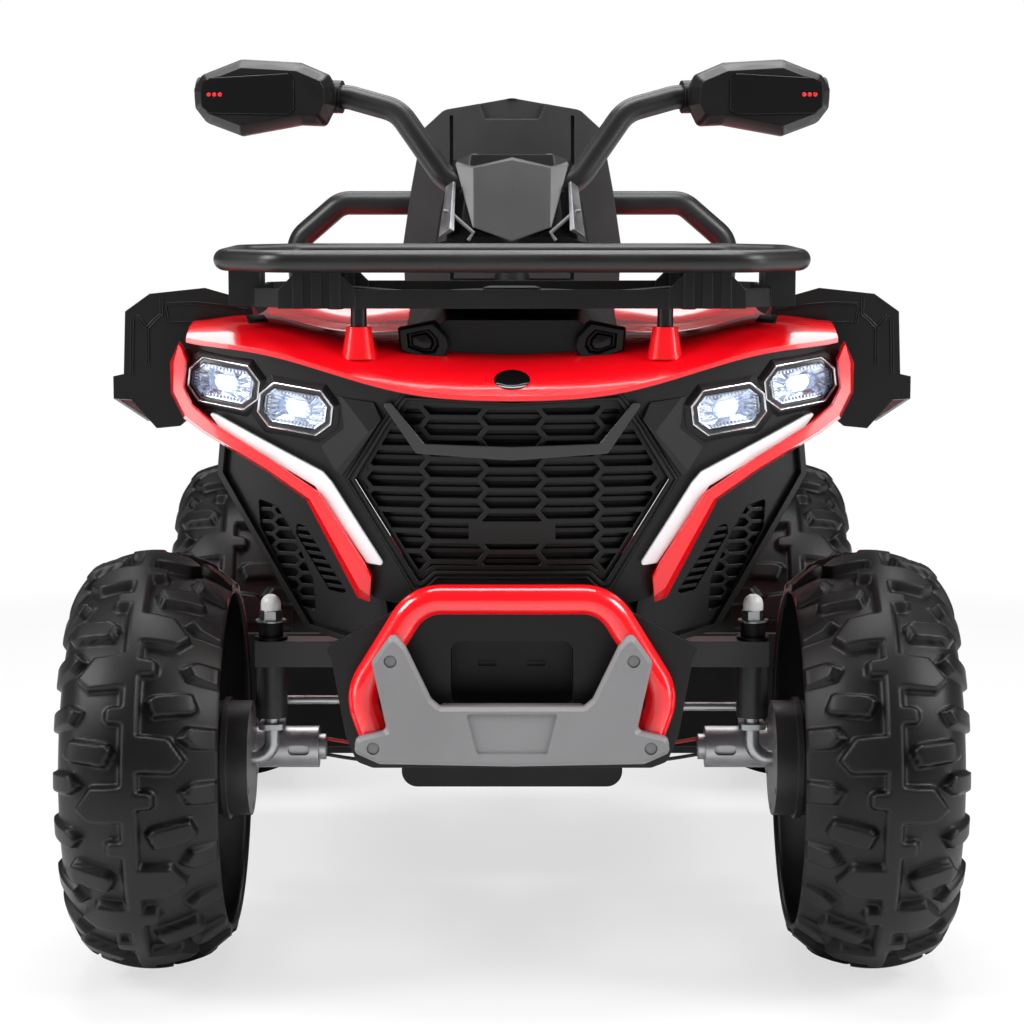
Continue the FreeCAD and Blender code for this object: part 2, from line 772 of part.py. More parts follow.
def hand_guards():
    """Shell in front of each grip, clamped to the bar, with a flush insert on its face."""
    rear = bar_place(0, 22, 0).y
    face = rear - guard_depth
    points = lifted(guard_outline)
    skin = loft([outline(points, "front", rear, 6.0), outline(inset(points, 1), "front", rear - guard_depth * 0.6, 6.0),
                 outline(inset(points, 9), "front", face, 6.0)], True)
    inner = inset(points, guard_wall)
    hollow = loft([outline(inner, "front", rear + 1, 4.0),
                   outline(inset(inner, 1), "front", rear - guard_depth * 0.6, 4.0),
                   outline(inset(inner, 9), "front", face + guard_wall, 4.0)], True)
    guard = skin.cut(hollow)
    inboard = bar_place(*bar_points[2])
    run = unit(bar_place(*bar_points[3]) - inboard)
    clamp = rod(inboard + run * 6, inboard + run * 21, bar_radius + 4)
    guard = guard.fuse(clamp).cut(rod(inboard + run * 5, inboard + run * 60, bar_radius + running_gap))
    guard = guard.cut(rod(inboard + run * 22, inboard + run * 170, grip_radius + 5))
    panel = lifted(insert_outline)
    seat = prism(inset(panel, -panel_gap), "front", face - 1, face + 2, 3.0)
    guard = guard.cut(seat)
    insert = prism(panel, "front", face - 0.8, face + 2, 3.0)
    save("hand_guards", pair(largest(guard)))
    save("guard_inserts", pair(insert))


def largest(shape):
    """The biggest solid of a cut shape."""
    return max(shape.Solids, key=lambda solid: solid.Volume)


def raked(shape):
    """Place a piece that is drawn on the steering axis: X across, Y to the rider, Z up the column."""
    placed = shape.copy()
    placed.rotate(Vec(0, 0, 0), Vec(1, 0, 0), -column_rake)
    placed.translate(on_column(pod_low))
    return placed


def ring_of(half_width_low, near, far, cut):
    """Plan of the pod: a rectangle with cut corners."""
    return [(half_width_low, near + cut), (half_width_low, far - cut), (half_width_low - cut, far),
            (cut - half_width_low, far), (-half_width_low, far - cut), (-half_width_low, near + cut),
            (cut * 1.4 - half_width_low, near), (half_width_low - cut * 1.4, near)]


def pod():
    """Dash pod on the column: a dark base, a creased shield in front, two side trims and two push buttons."""
    base = loft([outline(ring_of(pod_low_half, pod_front + 4, pod_rear, 16), "plan", 0, 5.0),
                 outline(ring_of(pod_low_half - 5, pod_front + 2, pod_rear, 16), "plan", pod_length * 0.45, 5.0),
                 outline(ring_of(pod_top_half, pod_front, pod_rear - 8, 12), "plan", pod_length, 5.0)], True)
    screen = prism([(-34, 6), (34, 6), (30, 30), (-30, 30)], "plan", pod_length - 2, pod_length + 1, 4.0)
    base = base.cut(screen)
    pocket = button_radius + moving_gap
    for x in (-button_x, button_x):
        base = base.cut(rod(Vec(x, -6, pod_length - 12), Vec(x, -6, pod_length + 1), pocket))
    low = [(-cap_low_half, pod_front + 3.4), (-cap_low_half * 0.6, pod_front - 6), (0, pod_front - 6 - cap_ridge),
           (cap_low_half * 0.6, pod_front - 6), (cap_low_half, pod_front + 3.4)]
    high = [(-pod_top_half + 6, pod_front - panel_gap), (-pod_top_half * 0.6, pod_front - 5),
            (0, pod_front - 5 - cap_ridge / 2), (pod_top_half * 0.6, pod_front - 5),
            (pod_top_half - 6, pod_front - panel_gap)]
    shield = loft([outline(low, "plan", 4), outline(high, "plan", pod_length + 2)], True)
    shield = raked(shield.cut(base))
    trim = loft([outline([(52, pod_front - 4), (64, pod_front + 10), (66, pod_front + 8), (56, pod_front - 8)],
                         "plan", 2),
                 outline([(51, pod_front - 4), (58, pod_front + 6), (60, pod_front + 4), (53, pod_front - 7)],
                         "plan", pod_length * 0.62)], True)
    trim = raked(trim.cut(base).cut(loft([outline(inset(low, -0.3), "plan", 4),
                                          outline(inset(high, -0.3), "plan", pod_length + 2)], True)))
    base = raked(base).cut(handlebar_solid(panel_gap / 2))
    base = base.cut(rod(on_column(crank_height), on_column(bar_centre + 4), column_radius + running_gap))
    save("pod_base", largest(base))
    save("pod_shield", largest(shield.cut(handlebar_solid(panel_gap))))
    save("pod_trims", pair(largest(trim.cut(handlebar_solid(panel_gap)))))
    for name, x in (("push_button_left", button_x), ("push_button_right", -button_x)):
        low_z = pod_length + button_stands - button_height
        stem = rod(Vec(x, -6, low_z), Vec(x, -6, low_z + button_height - 2), button_radius)
        head = Part.makeCone(button_radius, button_radius - 2, 2, Vec(x, -6, low_z + button_height - 2))
        save(name, raked(join(stem, head)))


# Nose panels

def band(proud, depth):
    """Layer of the nose: from a height above its surface, in by a depth."""
    outer = nose_radius + proud
    inner = outer - depth
    middle_y = front(-nose_reach) + nose_radius + (nose_height - nose_low) * math.tan(math.radians(nose_lean))
    centre = Vec(0, middle_y, up(nose_low))
    half = math.radians(46)

    def spot(radius, turn):
        return centre + Vec(radius * math.sin(turn), -radius * math.cos(turn), 0)

    edges = [Part.Arc(spot(outer, -half), spot(outer, 0), spot(outer, half)).toShape(),
             line(spot(outer, half), spot(inner, half)),
             Part.Arc(spot(inner, half), spot(inner, 0), spot(inner, -half)).toShape(),
             line(spot(inner, -half), spot(outer, -half))]
    rise = nose_high - nose_low
    return Part.Face(Part.Wire(edges)).extrude(Vec(0, -rise * math.tan(math.radians(nose_lean)), rise))


def sheet(points, radius=0.0, holes=()):
    """Flat face ahead of the nose, with an outline seen from the front and its holes."""
    face = Part.Face(outline(lifted(points), "front", front(-sheet_reach), radius))
    for hole in holes:
        face = face.cut(Part.Face(outline(lifted(hole), "front", front(-sheet_reach), hole_corner)))
    return face


def panel(points, proud, depth, radius=0.0, holes=()):
    """Front panel: an outline seen from the front, with holes, cut from a layer of the nose."""
    return sheet(points, radius, holes).extrude(Vec(0, 2 * sheet_reach, 0)).common(band(proud, depth))


def lamp(centre, size, cut, turn):
    """Octagonal lamp outline, tipped towards the middle."""
    w = size[0] / 2
    h = size[1] / 2
    corners = [(w, cut - h), (w, h - cut), (w - cut, h), (cut - w, h), (-w, h - cut), (-w, cut - h), (cut - w, -h),
               (w - cut, -h)]
    c = math.cos(math.radians(turn))
    s = math.sin(math.radians(turn))
    return [(centre[0] + u * c - v * s, centre[1] + u * s + v * c) for u, v in corners]


def lamp_outlines(grow):
    """The two lamps of the +X side, grown on every side."""
    size = (lamp_size[0] + 2 * grow, lamp_size[1] + 2 * grow)
    return [lamp(centre, size, lamp_cut + 0.6 * grow, lamp_turn) for centre in lamp_centres]


def fascia():
    """Black face of the nose, with a return all round, the grille opening and four lamp holes."""
    whole = both(fascia_half)
    lamp_holes = lamp_outlines(panel_gap)
    lamp_holes = lamp_holes + [[(-x, h) for x, h in points] for points in lamp_holes]
    plate = panel(whole, 0, panel_wall, 5.0, [inset(both(grille_half), -panel_gap)] + lamp_holes)
    wall = panel(inset(whole, lip_step), -lip_step, fascia_return, 5.0, [inset(whole, panel_wall)])
    save("front_fascia", join(plate, wall))


def honeycomb(points, pitch, tip, height, rib):
    """Long hexagon cells, each column half a cell above the last, that fill the box round an outline."""
    low_u = min(u for u, v in points)
    high_u = max(u for u, v in points)
    low_v = min(v for u, v in points)
    high_v = max(v for u, v in points)
    middle = (low_u + high_u) / 2
    columns = int((high_u - low_u) / 2 / pitch) + 1
    rows = int((high_v - low_v) / height) + 2
    cells = []
    for i in range(-columns, columns + 1):
        for j in range(rows):
            u = middle + i * pitch
            v = low_v + (j + 0.5 * (i % 2)) * height
            flat = pitch / 2 - tip / 2
            cell = [(u + flat + tip, v), (u + flat, v + height / 2), (u - flat, v + height / 2),
                    (u - flat - tip, v), (u - flat, v - height / 2), (u + flat, v - height / 2)]
            cells.append(inset(cell, rib / 2))
    return cells


def mesh_layer(points, cells, proud, depth):
    """Ribs between cells, in one layer of the nose."""
    holes = Part.makeCompound([sheet(cell) for cell in cells])
    ribs = sheet(points).cut(holes).extrude(Vec(0, 2 * sheet_reach, 0))
    return ribs.common(band(proud, depth))


def grille():
    """Honeycomb moulding with its rim and a bare plate, in front of a back plate with slats."""
    whole = both(grille_half)
    mouth = sheet(inset(whole, grille_rim)).cut(sheet(both(plate_half)))
    cells = honeycomb(whole, cell_pitch, cell_tip, cell_height, cell_rib)
    windows = Part.makeCompound([sheet(cell) for cell in cells]).common(mouth)
    moulding = sheet(whole).cut(windows).extrude(Vec(0, 2 * sheet_reach, 0))
    moulding = moulding.common(band(grille_proud, grille_ribs))
    low = min(v for u, v in whole)
    high = max(v for u, v in whole)
    reach = max(u for u, v in whole)
    gaps = []
    for i in range(int((high - low) / slat_pitch) + 1):
        v = low + i * slat_pitch + slat_height / 2
        gaps.append([(-reach, v), (reach, v), (reach, v + slat_pitch - slat_height),
                     (-reach, v + slat_pitch - slat_height)])
    slat_proud = grille_proud - grille_ribs - slat_step
    slats = mesh_layer(inset(whole, 2 * back_step), gaps, slat_proud, slat_depth)
    back_plate = panel(inset(whole, back_step), slat_proud - slat_depth + back_step, back_depth)
    backing = join(back_plate, *slats.Solids)
    save("grille", Part.makeCompound([largest(moulding), largest(backing)]))
    save("grille_bar", panel(both(gloss_bar), 6, 6 - panel_gap / 2, 3.0))


def side_ducts():
    """Recessed panel under each trim: a raised edge, a honeycomb window and a louvre."""
    face_edge = inset(both(fascia_half), -panel_gap)
    base = panel(duct_side, -duct_recess, 5, 3.0, [face_edge, duct_mesh_side, duct_louvre_side])
    edge = panel(duct_side, -duct_recess + 5, 8, 3.0, [face_edge, inset(duct_side, 5)])
    cells = honeycomb(duct_mesh_side, cell_pitch * 0.42, cell_tip * 0.7, cell_height * 0.62, cell_rib * 0.8)
    mesh = mesh_layer(inset(duct_mesh_side, -1), cells, -duct_recess - 2, 4)
    low = min(v for u, v in duct_louvre_side)
    near = min(u for u, v in duct_louvre_side) - 6
    far = max(u for u, v in duct_louvre_side) + 6
    gaps = []
    for i in range(louvre_fins):
        v = low + louvre_pitch * i
        gaps.append([(near, v), (far, v + 5), (far, v + 5 + louvre_gap), (near, v + louvre_gap)])
    fins = mesh_layer(inset(duct_louvre_side, -1), gaps, -duct_recess - 1, 4)
    duct = join(base, edge, mesh, *fins.Solids)
    save("side_ducts", pair(largest(duct)))


def lamps():
    """Cup behind each lamp and a clear lens in its mouth."""
    cups = []
    lenses = []
    for outer, inner, glass in zip(lamp_outlines(0), lamp_outlines(-lamp_rim), lamp_outlines(-lamp_rim - panel_gap)):
        wall = panel(outer, lamp_proud, lamp_depth, lamp_corner, [inner])
        floor = panel(inset(inner, -lamp_lip), lamp_floor - lamp_depth, panel_wall, lamp_corner)
        cups.append(join(wall, floor))
        lenses.append(panel(glass, 2, 4, 1.5))
    save("headlight_housings", Part.makeCompound(cups + [flip(cup) for cup in cups]))
    save("headlight_lenses", Part.makeCompound(lenses + [flip(lens) for lens in lenses]))


def trims():
    """Red edge trim and white light bar on each side of the fascia."""
    bar = panel(light_bar_side, 7, 7 - panel_gap / 2, 2.0)
    neighbours = [inset(light_bar_side, -panel_gap)] + lamp_outlines(panel_gap)
    trim = panel(trim_side, 14, 14 - panel_gap / 2, 5.0, neighbours)
    save("fascia_trims", pair(largest(trim)))
    save("light_bars", pair(bar))


# Hood, tank and rack


def skin_section(x, points):
    """Closed section of a moulded skin across one station: its top curve, and the same curve a wall lower."""
    top = [Vec(x, front(y), up(h)) for y, h in points]
    low = [p - Vec(0, 0, panel_wall) for p in top]
    upper = Part.BSplineCurve()
    upper.interpolate(top)
    under = Part.BSplineCurve()
    under.interpolate(list(reversed(low)))
    return Part.Wire([upper.toShape(), line(top[-1], low[-1]), under.toShape(), line(low[0], top[0])])


def hood():
    """Red front cowl: a lipped skin that opens round the centre cowl and carries two rack bosses."""
    rows = [(-x, points) for x, points in reversed(hood_stations[1:])] + hood_stations
    skin = loft([skin_section(x, points) for x, points in rows], False)
    reach = hood_stations[-1][0] + 1
    for side in (-1, 1):
        x0, x1 = sorted((side * hood_wing_x, side * reach))
        skin = skin.cut(box(x0, x1, front(hood_wing_y), front(200), up(300), up(420)))
    gap = cowl_half + panel_gap
    skin = skin.cut(prism([(-gap, front(cowl_front) - panel_gap), (gap, front(cowl_front) - panel_gap),
                           (gap, front(200)), (-gap, front(200))], "plan", up(280), up(440)))
    for x in (-post_x, post_x):
        foot = Vec(x, front(post_y), up(boss_top - 26))
        boss = Part.makeCone(15, 10, 26, foot)
        skin = skin.fuse(boss)
    save("hood", largest(skin))


def tank_section(y, half, shoulder, top_half, top, wall, low):
    """Section of the tank: upright sides, a shoulder and a narrower top."""
    half = half - wall
    top_half = top_half - wall * 0.6
    shoulder = shoulder - wall * 0.6
    top = top - wall
    return outline(lifted([(half, low), (half, shoulder), (top_half, top), (-top_half, top), (-half, shoulder),
                           (-half, low)]), "front", front(y), 8.0)


def tank():
    """Centre cowl and tank cover, open below, with two hexagon vents and a hole for the column collar."""
    skin = loft([tank_section(*s, 0, rail_top) for s in tank_stations], True)
    first = tank_stations[0]
    last = tank_stations[-1]
    inner_rows = [(first[0] + panel_wall,) + first[1:]] + tank_stations[1:-1] + [(last[0] + 1,) + last[1:]]
    hollow = loft([tank_section(*s, panel_wall, rail_top - 20) for s in inner_rows], True)
    skin = skin.cut(hollow)
    for x in (-72, 72):
        skin = skin.fuse(prism(hexagon(x, up(355), 30), "front", front(cowl_front), front(cowl_front + 26), 2.0)
                         .cut(prism(hexagon(x, up(355), 21), "front", front(cowl_front), front(cowl_front + 5), 2.0)))
    skin = skin.cut(loft([tank_section(*s, panel_wall, rail_top - 20) for s in inner_rows], True))
    hole = rod(on_column(tank_exit - 40), on_column(tank_exit + 40), column_bush + panel_gap / 4)
    save("tank_cover", largest(skin.cut(hole)))


def pillar(x, y, low, high):
    """Pillar of the tray: a plate with a gusset on each side and three upright ribs."""
    foot = low + tray_rim
    half = pillar_half + pillar_gusset
    plate = prism([(x - half, low), (x + half, low), (x + half, foot), (x + pillar_half, foot + pillar_gusset),
                   (x + pillar_half, high), (x - pillar_half, high), (x - pillar_half, foot + pillar_gusset),
                   (x - half, foot)], "front", y, y + pillar_plate)
    edge = pillar_half - pillar_rib / 2
    ribs = [box(x + u - pillar_rib / 2, x + u + pillar_rib / 2, y - pillar_stands, y + pillar_plate + pillar_stands,
                low, high) for u in (-edge, 0, edge)]
    return join(plate, *ribs)


def rack():
    """Tube loop over a ribbed tray, whose pillars reach up to the tube and whose posts stand on the hood."""
    z = up(rack_height)
    corners = [(rack_half - rack_corner, front(rack_front)), (rack_half, front(rack_front + rack_corner)),
               (rack_half, front(rack_rear - rack_corner)), (rack_half - rack_corner, front(rack_rear))]
    corners = corners + [(-x, y) for x, y in reversed(corners)]
    points = [Vec(x, y, z) for x, y in corners]
    spine = path(points, 30.0, True)
    edge = spine.Edges[0]
    begin = edge.Vertexes[0].Point
    circle = Part.Wire(Part.Circle(begin, edge.tangentAt(edge.FirstParameter), rack_tube).toShape())
    rail = spine.makePipeShell([circle], True, False)
    save("front_rack_rail", rail)
    low = up(rack_floor)
    plan = [(tray_half - 38, front(rack_front + 6)), (tray_half, front(rack_front + 44)),
            (tray_half, front(tray_rear - 34)), (tray_half - 38, front(tray_rear))]
    plan = plan + [(-x, y) for x, y in reversed(plan)]
    floor = prism(plan, "plan", low, low + tray_wall, 8.0)
    rim_low = prism(plan, "plan", low, low + tray_rim, 8.0).cut(prism(inset(plan, tray_wall), "plan", low, low + 30, 6.0))
    pieces = [rim_low]
    reach = z - low
    for x in (-pillar_x, pillar_x):
        for y in (rack_front + 5, tray_rear - 7):
            pieces.append(pillar(x, front(y), low, low + reach))
    for side in (-1, 1):
        x0, x1 = sorted((side * (tray_half - 5), side * (tray_half + 20)))
        for y in (-40, -8):
            pieces.append(box(x0, x1, front(y - 12), front(y + 12), low, low + reach))
    for side in (-1, 1):
        rib = [(side * 46, front(-78)), (side * 60, front(-78)), (side * 150, front(90)), (side * 136, front(90))]
        pieces.append(prism(rib, "plan", low, low + 11, 3.0))
    pieces.append(rod(Vec(0, front(10), low), Vec(0, front(10), low + 10), 58.0))
    pieces.append(prism([(-24, front(-70)), (24, front(-70)), (18, front(-30)), (-18, front(-30))], "plan",
                        low, low + 16, 4.0))
    for x in (-post_x, post_x):
        pieces.append(rod(Vec(x, front(post_y), up(boss_top)), Vec(x, front(post_y), low + 2), post_radius))
        pieces.append(rod(Vec(x + math.copysign(30, x), front(90), up(hood_rear_height)),
                          Vec(x + math.copysign(30, x), front(90), low + 2), post_radius))
    tray = join(floor, *pieces).cut(rail)
    save("front_rack_tray", largest(tray))


# Bumper

def bumper():
    """Bracket with a recess, tube loop and skid plate with four bolts."""
    face = front(bumper_face)
    plate = prism(lifted(both(bracket_half)), "front", face, face + 6, 8.0)
    recess = prism(lifted(inset(both(recess_half), -panel_wall)), "front", face + 4, face + 30, 6.0)
    plate = plate.fuse(recess)
    plate = plate.cut(prism(lifted(both(recess_half)), "front", face - 1, face + 26, 5.0))
    for x in (-20, 20):
        plate = plate.cut(box(x - 7, x + 7, face + 20, face + 40, up(100), up(104)))
    for side in (-1, 1):
        arm = box(side * rail_x - rail_size / 2, side * rail_x + rail_size / 2, face + 5, front(rail_front),
                  up(rail_bottom), up(rail_top))
        stand = box(side * rail_x - rail_size / 3, side * rail_x + rail_size / 3, front(stand_front), front(rail_front),
                    up(rail_top) - 1, up(fascia_half[-1][1]) - panel_gap / 4)
        plate = plate.fuse(arm).fuse(stand)
    save("bumper_bracket", largest(plate.removeSplitter()))
    tube_y = face - bumper_tube - panel_gap / 4
    half = [Vec(x, tube_y, up(h)) for x, h in bumper_half[1:]]
    loop = [Vec(-p.x, p.y, p.z) for p in reversed(half)] + half
    save("bumper_tube", tube(loop, bumper_tube, 34.0))
    skid_back = tube_y - bumper_tube - panel_gap / 4
    skid_front = skid_back - 11
    points = lifted(both(skid_half))
    low_face = inset(points, 3)
    skid = prism(points, "front", skid_front + 4, skid_back, 5.0)
    bevel = loft([outline(points, "front", skid_front + 4, 5.0), outline(low_face, "front", skid_front, 4.0)], True)
    keel = lifted(both([(0, 74), (56, 74), (78, 56), (80, 36), (70, 31), (0, 31)]))
    block = prism(keel, "front", skid_back, face - panel_gap / 4, 5.0)
    skid = join(skid, bevel, block)
    skid = skid.cut(prism(lifted(both(skid_panel_half)), "front", skid_front - 1, skid_front + 2, 2.0))
    bolts = []
    for x, h in skid_bolts:
        for side in (-1, 1):
            hole = Vec(side * x, skid_front, up(h))
            skid = skid.cut(rod(hole, hole + Vec(0, 6, 0), 5.0))
            bolts.append(rod(hole + Vec(0, 2, 0), hole + Vec(0, 6, 0), 5.0 - panel_gap))
    save("bumper_skid", Part.makeCompound([largest(skid)] + bolts))


# Frame, tub and body behind the nose


def frame():
    """Ladder frame on the front beam, with hanger plates and bolt for the swing arm."""
    low = up(rail_bottom)
    high = up(rail_top)
    half = rail_size / 2
    pieces = []
    for x in (-rail_x, rail_x):
        pieces.append(box(x - half, x + half, front(rail_front), back(rail_rear), low, high))
    for y in (front(rail_front), front(120), swing_pivot_y - 50, back(rail_rear) - rail_size):
        pieces.append(box(-rail_x, rail_x, y, y + rail_size, low, high))
    ladder = join(*pieces)
    for x in (-rail_x, rail_x):
        ladder = ladder.cut(box(x - half + rail_wall, x + half - rail_wall, front(rail_front), back(rail_rear),
                                low + rail_wall, high - rail_wall))
    pieces = []
    pivot_z = up(swing_pivot_height)
    for side in (-1, 1):
        x0, x1 = sorted((side * hanger_x, side * (hanger_x + 5)))
        hanger = prism([(swing_pivot_y - 24, low + 2), (swing_pivot_y + 24, low + 2),
                        (swing_pivot_y + 14, pivot_z - 14), (swing_pivot_y - 14, pivot_z - 14)], "side", x0, x1, 10.0)
        pieces.append(hanger)
    bolt = rod(Vec(-hanger_x - 10, swing_pivot_y, pivot_z), Vec(hanger_x + 10, swing_pivot_y, pivot_z), pivot_bolt)
    save("frame", join(ladder, *pieces, bolt))


def swing_arm():
    """Pivot pipe, two arms, spring seats and the axle rod of the rear wheels."""
    pivot_z = up(swing_pivot_height)
    pipe_reach = hanger_x - moving_gap
    pipe = rod(Vec(-pipe_reach, swing_pivot_y, pivot_z), Vec(pipe_reach, swing_pivot_y, pivot_z), swing_tube)
    pieces = []
    half = swing_arm_height / 2
    for x in (-arm_x, arm_x):
        arm = prism([(swing_pivot_y, pivot_z - half), (rear_y, axle_z - half), (rear_y, axle_z + half),
                     (swing_pivot_y, pivot_z + half)], "side", x - swing_arm_width / 2, x + swing_arm_width / 2)
        pieces.append(arm)
        seat_y = back(-spring_seat_forward)
        sx = math.copysign(rail_x, x)
        pieces.append(rod(Vec(sx, seat_y, axle_z), Vec(sx, seat_y, up(spring_seat_height)), 24.0))
        pieces.append(box(min(x, sx), max(x, sx), seat_y - 10, seat_y + 10, axle_z - half + 1, axle_z + half))
    sleeve = rod(Vec(-rear_gearbox_inner, rear_y, axle_z), Vec(rear_gearbox_inner, rear_y, axle_z), 13.0)
    end = half_width - spindle_end_gap
    axle = rod(Vec(-end, rear_y, axle_z), Vec(end, rear_y, axle_z), spindle_radius)
    arm = join(pipe, *pieces, sleeve, axle)
    arm = arm.cut(rod(Vec(-200, swing_pivot_y, pivot_z), Vec(200, swing_pivot_y, pivot_z), pivot_bolt + running_gap))
    save("swing_arm", arm)


def rear_drives():
    """Gearbox and motor beside each rear wheel."""
    inner = rear_gearbox_inner
    outer = inner + rear_gearbox_length
    motor_y = back(-motor_offset)
    case = rod(Vec(inner, rear_y, axle_z), Vec(outer, rear_y, axle_z), rear_gearbox_radius)
    cradle = rod(Vec(inner, motor_y, axle_z), Vec(inner + 14, motor_y, axle_z), motor_radius + 6)
    flange = rod(Vec(inner + 24, rear_y, axle_z), Vec(inner + 29, rear_y, axle_z), rear_gearbox_radius + 3)
    case = join(case, cradle, flange)
    case = case.cut(rod(Vec(inner, rear_y, axle_z), Vec(outer, rear_y, axle_z), spindle_radius + running_gap))
    can = motor(inner - motor_length, inner, motor_y)
    save("rear_drives", Part.makeCompound([case, flip(case), can, flip(can)]))


def springs():
    """Two coil springs between the swing arm and the rails, each one unbroken wire."""
    low = up(spring_seat_height) + spring_wire + panel_gap / 4
    high = up(rail_bottom) - spring_wire - panel_gap / 4
    centre = Vec(rail_x, back(-spring_seat_forward), 0)
    quarters = spring_turns * 4
    rise = (high - low) / quarters

    def spot(quarter):
        turn = math.pi / 2 * quarter
        return centre + Vec(spring_radius * math.cos(turn), spring_radius * math.sin(turn), low + rise * quarter)

    edges = [Part.Arc(spot(i), spot(i + 0.5), spot(i + 1)).toShape() for i in range(quarters)]
    spine = Part.Wire(edges)
    start = Part.Wire(Part.Circle(spot(0), edges[0].tangentAt(edges[0].FirstParameter), spring_wire).toShape())
    coil = spine.makePipeShell([start], True, False)
    print("spring: least gap between turns %.2f mm" % (rise * 4 - 2 * spring_wire))
    save("rear_springs", pair(coil))


def tub():
    """Floor tub between the rails, and the battery and controller inside it."""
    high = up(rail_bottom)
    low = up(tub_floor)
    y0 = front(tub_front)
    y1 = front(tub_front) + tub_length
    whole = box(-tub_half_width, tub_half_width, y0, y1, low, high)
    inside = box(-tub_half_width + panel_wall, tub_half_width - panel_wall, y0 + panel_wall, y1 - panel_wall,
                 low + panel_wall, high + 1)
    shell = whole.makeFillet(14.0, [e for e in whole.Edges if e.BoundBox.ZMax < low + 1 and e.Length > 250])
    save("floor_tub", shell.cut(inside))
    floor = low + panel_wall
    battery = box(-76, 76, 0, 98, floor, floor + 96)
    battery = battery.makeFillet(4.0, battery.Edges)
    controller = box(-60, 60, -120, -40, floor, floor + 34)
    controller = controller.makeFillet(3.0, controller.Edges)
    save("battery_pack", Part.makeCompound([battery, controller]))


def centre_body():
    """Box under the seat, standing on the rails and open below."""
    low = up(rail_top)
    high = up(seat_base)
    half = tub_half_width
    y0 = tank_end + panel_gap
    y1 = back(body_rear)
    points = [(half, low), (half, high), (-half, high), (-half, low)]
    inner = [(half - panel_wall, low - 1), (half - panel_wall, high - panel_wall),
             (panel_wall - half, high - panel_wall), (panel_wall - half, low - 1)]
    shell = prism(points, "front", y0, y1).cut(prism(inner, "front", y0 + panel_wall, y1 - panel_wall))
    save("centre_body", shell)


def seat():
    """Moulded saddle, narrow in front, with a crown and two cross channels."""
    y0 = tank_end + 4
    y1 = backrest_y - panel_gap
    length = y1 - y0
    low = up(seat_base) + panel_gap / 4
    rows = []
    for share, half, top, edge in ((0.0, 62, 262, 248), (0.15, 80, 268, 250), (0.5, 94, 270, 250),
                                   (0.85, 102, 276, 256), (1.0, 103, 280, 260)):
        y = y0 + share * length
        left = Vec(-half, y, up(edge))
        right = Vec(half, y, up(edge))
        crown = Part.Arc(right, Vec(0, y, up(top)), left).toShape()
        foot_r = Vec(half - seat_draft, y, low)
        foot_l = Vec(seat_draft - half, y, low)
        rows.append(Part.Wire([crown, line(left, foot_l), line(foot_l, foot_r), line(foot_r, right)]))
    saddle = loft(rows, False)
    for share in (0.38, 0.66):
        y = y0 + share * length
        saddle = saddle.cut(prism([(y - 5, up(262)), (y + 5, up(262)), (y + 9, up(290)), (y - 9, up(290))], "side",
                                  -200, 200, 2.0))
    save("seat", largest(saddle))


def backrest():
    """Moulded backrest with a hollowed front, a top recess and pressed creases, on a foot behind the seat."""
    points = lifted(both(backrest_half))
    y1 = backrest_y + backrest_depth
    shell = prism(points, "front", backrest_y, y1, 16.0)
    hollow = Part.makeCylinder(520, 400, Vec(0, backrest_y - 507, up(240)))
    shell = shell.cut(hollow)
    foot = box(-90, 90, backrest_y + 4, y1, up(seat_base) + panel_gap / 4, up(256))
    recess = prism(lifted([(-38, 578), (38, 578), (30, 556), (-30, 556)]), "front", backrest_y - 1,
                   backrest_y + 17, 4.0)
    shell = join(shell, foot).cut(recess)
    for x in (-66, 66):
        crease = prism(lifted([(x - 2, 560), (x + 2, 560), (x + 2, 300), (x - 2, 300)]), "front", backrest_y - 1,
                       backrest_y + 14, 1.5)
        shell = shell.cut(crease)
    return largest(shell)


def rear_body():
    """Red rear fenders on both sides of a deck, closed behind by the tail panel."""
    rows = []
    for x, points in fender_stations:
        top = [Vec(x, back(y), up(h)) for y, h in points]
        low = [p - Vec(0, 0, panel_wall) for p in top]
        rows.append(Part.Wire(Part.makePolygon(top + list(reversed(low)) + [top[0]]).Edges))
    side = loft(rows, True)
    reach = fender_stations[0][0]
    deck = box(-reach - 1, reach + 1, back(body_rear + panel_gap), back(135), up(228), up(232))
    tail = prism(lifted([(-200, 326), (200, 326), (170, 190), (-170, 190)]), "front", back(129), back(135), 12.0)
    tail = tail.cut(prism(lifted([(-96, 330), (96, 330), (96, 240), (-96, 240)]), "front", back(120), back(140)))
    return largest(join(side, flip(side), deck, tail))


def grab_rail(rest, body):
    """Tube from the side of the backrest out and down to the fender."""
    y = backrest_y + backrest_depth / 2 + 4
    points = [Vec(100, y, up(465)), Vec(188, y, up(465)), Vec(236, y + 4, up(424)), Vec(232, y + 10, up(350))]
    bar = tube(points, 13.0, 26.0)
    return largest(bar.cut(rest).cut(body).cut(box(0, 300, y - 90, y + 90, up(200), up(358))))


def rear_panels():
    """Backrest, grab rails, rear body and tail lamps."""
    rest = backrest()
    body = rear_body()
    save("backrest", rest)
    save("rear_body", body)
    save("grab_rails", pair(grab_rail(rest, body)))
    light = prism(lifted([(110, 312), (176, 312), (168, 272), (110, 280)]), "front", back(135) + panel_gap / 4,
                  back(143), 6.0)
    save("tail_lamps", pair(light))


